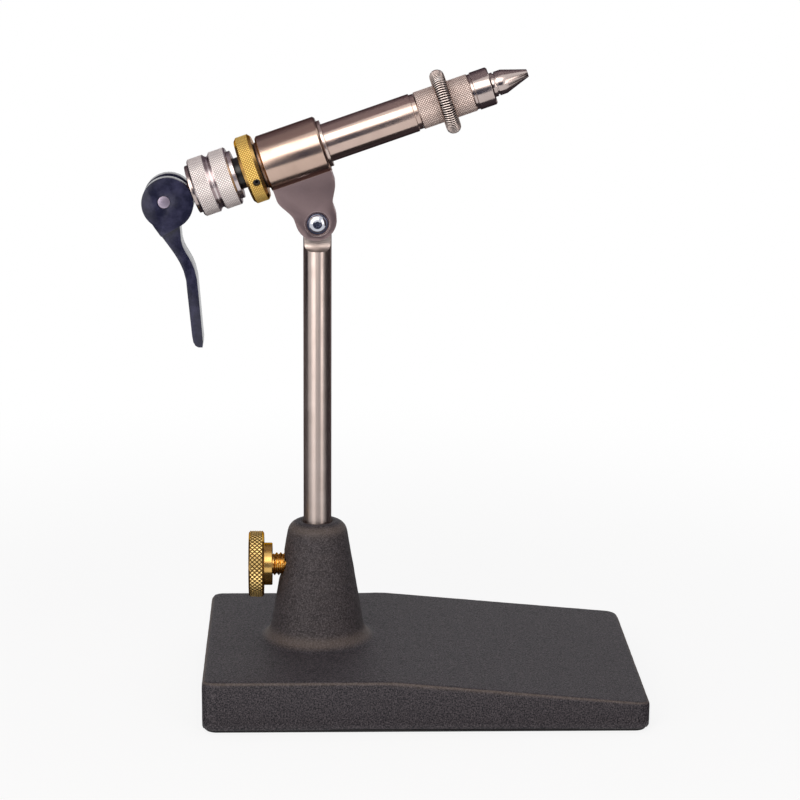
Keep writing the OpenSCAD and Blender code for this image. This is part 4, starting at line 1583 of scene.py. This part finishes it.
@dataclass
class AdjustingKnob(SubAssembly):
    """The two-band knob that sets the jaws for the hook's thickness, and its thrust washer."""

    radius: float = 9.95
    rear_u: float = -34.37
    rear_w: float = 6.3
    groove_w: float = 0.6
    groove_h: float = 1.05
    groove_slope: float = 0.9
    front_w: float = 6.4
    groove_ease: float = 0.3
    rim_w: float = 1.3
    rim_r: float = 8.2
    rim_ease: float = 0.2
    edge: float = 0.5
    knurl_lip: float = 0.05
    spigot_r: float = 4.0
    spigot_u: float = -35.42
    bore_r: float = 2.45
    wall: float = 0.7
    thread_r: float = 5.0
    cup_r: float = 5.65
    cup_u: float = -21.77
    washer_u: float = -35.72
    washer_t: float = 1.2
    washer_gap: float = 0.05
    washer_edge: float = 0.25
    knurl_pitch: float = 0.98
    knurl_h: float = 0.14
    points_round: int = 128

    def build(self) -> None:
        """Makes the knob and the washer."""
        self.place(
            "two_band_knob", self.knob().moved(HEAD.on_axis),
            [RIM_ALUMINIUM, KNOB_ALUMINIUM.on(self.radius, self.knurl_h)],
            Body.KNOB, Slot.KNOB, "adjusting_knob", crease=KNURL_CREASE,
        )
        bore, end = self.spigot_r + self.washer_gap, self.washer_u + self.washer_t
        corners = eased([
            (self.washer_u, bore), (self.washer_u, self.rim_r), (end, self.rim_r), (end, bore),
        ], self.washer_edge)
        washer = Shape.turned(plain(corners), ROUND, closed=True)
        self.place(
            "thrust_disc", washer.moved(HEAD.on_axis), [BRIGHT_STEEL], Body.THRUST, Slot.BRIGHT,
            "thrust_washer",
        )

    def knob(self) -> Shape:
        """The knob, hollow for the spindle's thread.

        Returns:
            The shape.
        """
        r, edge, slope = self.radius, self.edge, self.groove_slope
        groove_rear = self.rear_u + self.rear_w
        groove_front = groove_rear + self.groove_w
        front = groove_front + self.front_w
        floor_r, lip_r, lip = r - self.groove_h, r - self.knurl_h / 2, slope - self.knurl_lip
        rows = plain([
            (self.spigot_u, self.bore_r), (self.spigot_u, self.spigot_r), (self.rear_u, self.spigot_r),
            (self.rear_u, r - edge),
        ])
        rows += knurl(self.rear_u + edge, groove_rear - slope, r, self.knurl_h, self.knurl_pitch)
        rows += plain(eased([
            (groove_rear - lip, lip_r), (groove_rear, floor_r), (groove_front, floor_r),
            (groove_front + lip, lip_r),
        ], self.groove_ease))
        rows += knurl(groove_front + slope, front - edge, r, self.knurl_h, self.knurl_pitch)
        rows += plain(eased([
            (front, r - edge), (front, self.rim_r), (front + self.rim_w, self.rim_r),
            (front + self.rim_w, self.cup_r), (self.cup_u, self.cup_r),
        ], self.rim_ease))
        rows += plain([
            (self.cup_u, self.thread_r), (self.rear_u + self.wall, self.thread_r),
            (self.rear_u + self.wall, self.bore_r),
        ])
        return Shape.turned(rows, self.points_round, closed=True)


@dataclass
class CamAction(SubAssembly):
    """The cam lever, its pin, the drawbar that it pulls and the spring that pushes the drawbar back."""

    edge: float = 0.7
    edge_steps: int = 4
    pin_u: float = -45.37
    pin_r: float = 2.1
    pin_half: float = 7.25
    pin_edge: float = 0.3
    pin_points: int = 64
    coil_r: float = 3.4
    coil_u: float = 20.5
    coil_l: float = 14.0
    curls: int = 9
    curl_steps: int = 24
    wire_r: float = 0.45
    wire_sides: int = 10

    def build(self) -> None:
        """Makes the lever, the pin and the spring, and dresses the drawbar."""
        self.place(
            "lever_body", softened("cam_lever", self.edge, self.edge_steps), [LEVER_BLACK], Body.LEVER,
            Slot.ANODISED, "cam_lever",
        )
        ends = eased([
            (-self.pin_half, 0.0), (-self.pin_half, self.pin_r), (self.pin_half, self.pin_r),
            (self.pin_half, 0.0),
        ], self.pin_edge)
        across = Matrix.Translation((self.pin_u, 0, 0)) @ Matrix.Rotation(math.pi / 2, 4, "Z")
        pin = Shape.turned(plain(ends), self.pin_points).moved(HEAD.on_axis @ across)
        self.place("lever_pin", pin, [PIN_STEEL], Body.DRAWBAR, Slot.BRIGHT, "cam_pin")
        centres, hubs = coil_points(self.coil_r, self.coil_l, self.curls, self.curl_steps)
        coil = Shape.wire(centres, hubs, self.wire_r, self.wire_sides, closed=False)
        self.place(
            "drawbar_spring", coil.moved(HEAD.on_axis @ Matrix.Translation((self.coil_u, 0, 0))),
            [SPRING_NICKEL],
            Body.DRAWBAR, Slot.SPRING, "return_spring", crease=SKIN_CREASE,
        )
        self.keep(BRIGHT_STEEL, "drawbar")


@dataclass
class Jaws(SubAssembly):
    """The two halves of the collet, and the small spring that spreads them."""

    edge: float = 0.09
    edge_steps: int = 2
    pocket_u: float = 66.72
    coil_r: float = 0.65
    coil_l: float = 1.35
    curls: int = 3
    curl_steps: int = 16
    wire_r: float = 0.15
    wire_sides: int = 8

    def build(self) -> None:
        """Makes the jaws and their spring."""
        for name, node, body in (
            ("hook_jaw_near", "near_jaw", Body.NEAR_JAW), ("hook_jaw_far", "far_jaw", Body.FAR_JAW),
        ):
            leaf = softened(node, self.edge, self.edge_steps)
            self.place(name, leaf, [BRIGHT_STEEL], body, Slot.BRIGHT, node)
        centres, hubs = coil_points(self.coil_r, self.coil_l, self.curls, self.curl_steps)
        pocket = Matrix.Translation((self.pocket_u, self.coil_l / 2, 0))
        across = pocket @ Matrix.Rotation(-math.pi / 2, 4, "Z")
        coil = Shape.wire(centres, hubs, self.wire_r, self.wire_sides, closed=False)
        self.place(
            "spreader_spring", coil.moved(HEAD.on_axis @ across), [SPRING_NICKEL], Body.NEAR_JAW, Slot.SPRING,
            "jaw_spring", crease=SKIN_CREASE,
        )


@dataclass(frozen=True)
class PortraitCamera:
    """The photograph's camera."""

    focal_px: float = 2604.03
    frame_px: float = 800.0
    sensor: float = 36.0
    pitch: float = math.radians(13.1737)
    yaw: float = math.radians(2.0270)
    roll: float = math.radians(0.4165)
    place: Point3 = (-2.341, -862.491, 303.161)
    shift_px: Point2 = (-0.3, 0.8)
    clip: Point2 = (0.01, 50.0)

    def make(self) -> bpy.types.Object:
        """Makes the camera and gives it to the scene.

        Returns:
            The camera.
        """
        data = bpy.data.cameras.new("portrait")
        data.sensor_width = self.sensor
        data.lens = self.focal_px * self.sensor / self.frame_px
        data.shift_x, data.shift_y = self.shift_px[0] / self.frame_px, self.shift_px[1] / self.frame_px
        data.clip_start, data.clip_end = self.clip
        level = Vector((math.sin(self.yaw), math.cos(self.yaw), 0))
        ahead = level * math.cos(self.pitch) - Vector((0, 0, math.sin(self.pitch)))
        right = Vector((level.y, -level.x, 0))
        up = right.cross(ahead)
        across = right * math.cos(self.roll) + up * math.sin(self.roll)
        over = up * math.cos(self.roll) - right * math.sin(self.roll)
        camera = bpy.data.objects.new("portrait", data)
        turn = Matrix((across, over, -ahead)).transposed().to_4x4()
        camera.matrix_world = Matrix.Translation(Vector(self.place) * MM) @ turn
        bpy.context.scene.collection.objects.link(camera)
        bpy.context.scene.camera = camera
        return camera


# Middle of the vise, in metres, which the lamps and the flags face
MIDDLE = Vector((0.02, 0.0, 0.13))


def sheet(name: str, size: Point2, place: Sequence[float]) -> bpy.types.Object:
    """Adds a flat sheet that lies level, in metres.

    Args:
        name: Its name.
        size: Its width and depth.
        place: Its middle.

    Returns:
        The sheet.
    """
    x, y = size[0] / 2, size[1] / 2
    mesh = bpy.data.meshes.new(name)
    mesh.from_pydata([(-x, -y, 0), (x, -y, 0), (x, y, 0), (-x, y, 0)], [], [(0, 1, 2, 3)])
    made = bpy.data.objects.new(name, mesh)
    made.location = place
    bpy.context.scene.collection.objects.link(made)
    return made


@dataclass(frozen=True)
class SoftLamp:
    """One large soft lamp, aimed at the vise. Its angle runs from the camera's side towards +X."""

    name: str
    angle: float
    height: float
    distance: float
    size: Point2
    watts: float
    colour: str

    def make(self) -> None:
        """Adds the lamp."""
        data = bpy.data.lights.new(self.name, "AREA")
        data.shape, data.size, data.size_y = "RECTANGLE", self.size[0], self.size[1]
        data.energy, data.color = self.watts, linear(self.colour)[:3]
        angle, height = math.radians(self.angle), math.radians(self.height)
        level = math.cos(height)
        out = Vector((math.sin(angle) * level, -math.cos(angle) * level, math.sin(height)))
        lamp = bpy.data.objects.new(self.name, data)
        lamp.location = MIDDLE + out * self.distance
        lamp.rotation_euler = out.to_track_quat("Z", "Y").to_euler()
        bpy.context.scene.collection.objects.link(lamp)


@dataclass(frozen=True)
class Flag:
    """A dark felt board beside the vise that only shows in gloss, as a studio's dark corners do."""

    name: str
    middle: Point3
    size: Point2
    felt: str
    lying: bool = False
    most_drop: float = 0.3

    def make(self) -> None:
        """Adds the board, turned towards the vise or lying flat, with its material."""
        board = sheet(self.name, self.size, self.middle)
        if not self.lying:
            aim = Vector((MIDDLE.x, MIDDLE.y, max(MIDDLE.z, self.middle[2] - self.most_drop)))
            board.rotation_euler = (aim - board.location).to_track_quat("Z", "Y").to_euler()
        board.visible_camera = False
        board.visible_diffuse = False
        board.visible_shadow = False
        board.visible_transmission = False
        made = bpy.data.materials.new(self.name + " felt")
        tree = cleared(made)
        cloth = add(tree, "BsdfDiffuse", {"Color": linear(self.felt)})
        add(tree, "OutputMaterial", {"Surface": cloth})
        board.data.materials.append(made)


@dataclass
class Studio:
    """The white table, the white surroundings, the lamps, the flags and the camera."""

    white: str = "#ffffff"
    ambient: float = 0.35
    ambient_colour: str = "#f4f6ff"
    table_side: float = 12.0
    table_drop: float = 0.02
    table_white: str = "#f6f5f4"
    fade: Point2 = (0.12, 0.45)
    near_white: float = 0.85
    lamps: tuple[SoftLamp, ...] = (
        SoftLamp("key", -15.0, 36.0, 0.9, (0.7, 0.5), 2.9, "#fff8f0"),
        SoftLamp("overhead", 180.0, 78.0, 0.9, (0.7, 0.5), 1.8, "#fffdfa"),
        SoftLamp("left", -36.0, 10.0, 0.9, (0.52, 0.45), 1.65, "#fffaf5"),
        SoftLamp("strip", 35.0, 10.0, 0.9, (0.2, 0.5), 1.0, "#fff2ea"),
    )
    flags: tuple[Flag, ...] = (
        Flag("front_flag", (0.03, -0.55, 0.145), (0.34, 0.29), "#5a5f74"),
        Flag("right_flag", (0.32, 0.0, 0.2), (0.46, 0.4), "#4a4448"),
        Flag("left_flag", (-0.3, 0.09, 0.2), (0.34, 0.4), "#554e53"),
        Flag("high_flag", (0.0, 0.42, 0.58), (1.0, 0.6), "#857a86"),
        Flag("over_flag", (0.0, 0.06, 0.76), (1.0, 0.5), "#a0949c"),
        Flag("low_flag", (0.05, 0.19, 0.003), (0.6, 0.5), "#5a545a", lying=True),
    )

    def build(self) -> None:
        """Makes the studio."""
        PortraitCamera().make()
        for item in (*self.lamps, *self.flags):
            item.make()
        self.surround()
        self.table()
        bpy.context.scene.view_settings.view_transform = "Standard"

    def seen(self, tree: bpy.types.NodeTree) -> bpy.types.NodeSocket:
        """One for rays that show the background: from the camera, off gloss and through glass.

        Args:
            tree: The nodes to add to.

        Returns:
            The socket with the value.
        """
        path = add(tree, "LightPath")
        first = add(tree, "Math", {
            0: path.outputs["Is Camera Ray"], 1: path.outputs["Is Glossy Ray"],
        }, operation="MAXIMUM")
        both = add(tree, "Math", {0: first, 1: path.outputs["Is Transmission Ray"]}, operation="MAXIMUM")
        return both.outputs[0]

    def surround(self) -> None:
        """Makes the world: white where it shows, and a plain soft light elsewhere."""
        world = bpy.data.worlds.new("white studio")
        bpy.context.scene.world = world
        tree = cleared(world)
        light = add(tree, "Background", {"Color": linear(self.ambient_colour), "Strength": self.ambient})
        white = add(tree, "Background", {"Color": linear(self.white), "Strength": 1.0})
        mixed = add(tree, "MixShader", {0: self.seen(tree), 1: light, 2: white})
        add(tree, "OutputWorld", {"Surface": mixed})

    def table(self) -> None:
        """Makes the white table top, which fades into the white surroundings away from the vise."""
        top = sheet("table_top", (self.table_side, self.table_side), (0, 0, -self.table_drop * MM))
        made = bpy.data.materials.new("white laminate")
        tree = cleared(made)
        spot = add(tree, "TexCoord").outputs["Object"]
        reach = add(tree, "VectorMath", {0: spot}, operation="LENGTH").outputs["Value"]
        far = add(tree, "MapRange", {
            "Value": reach, "From Min": self.fade[0], "From Max": self.fade[1], "To Min": self.near_white,
        }, interpolation_type="SMOOTHSTEP")
        share = add(tree, "Math", {0: far, 1: self.seen(tree)}, operation="MULTIPLY")
        laminate = add(tree, "BsdfDiffuse", {"Color": linear(self.table_white)})
        glow = add(tree, "Emission", {"Color": linear(self.white), "Strength": 1.0})
        mixed = add(tree, "MixShader", {0: share, 1: laminate, 2: glow})
        add(tree, "OutputMaterial", {"Surface": mixed})
        top.data.materials.append(made)


def main() -> None:
    """Builds the studio and the sub-assemblies in order."""
    logging.basicConfig(level=logging.INFO, format="%(message)s")
    Studio().build()
    for part in (
        Pedestal(), StemClamp(), Stem(), Housing(), Spindle(), MaterialSpring(), TensionRing(),
        AdjustingKnob(), CamAction(), Jaws(),
    ):
        part.build()


if __name__ == "__main__":
    main()
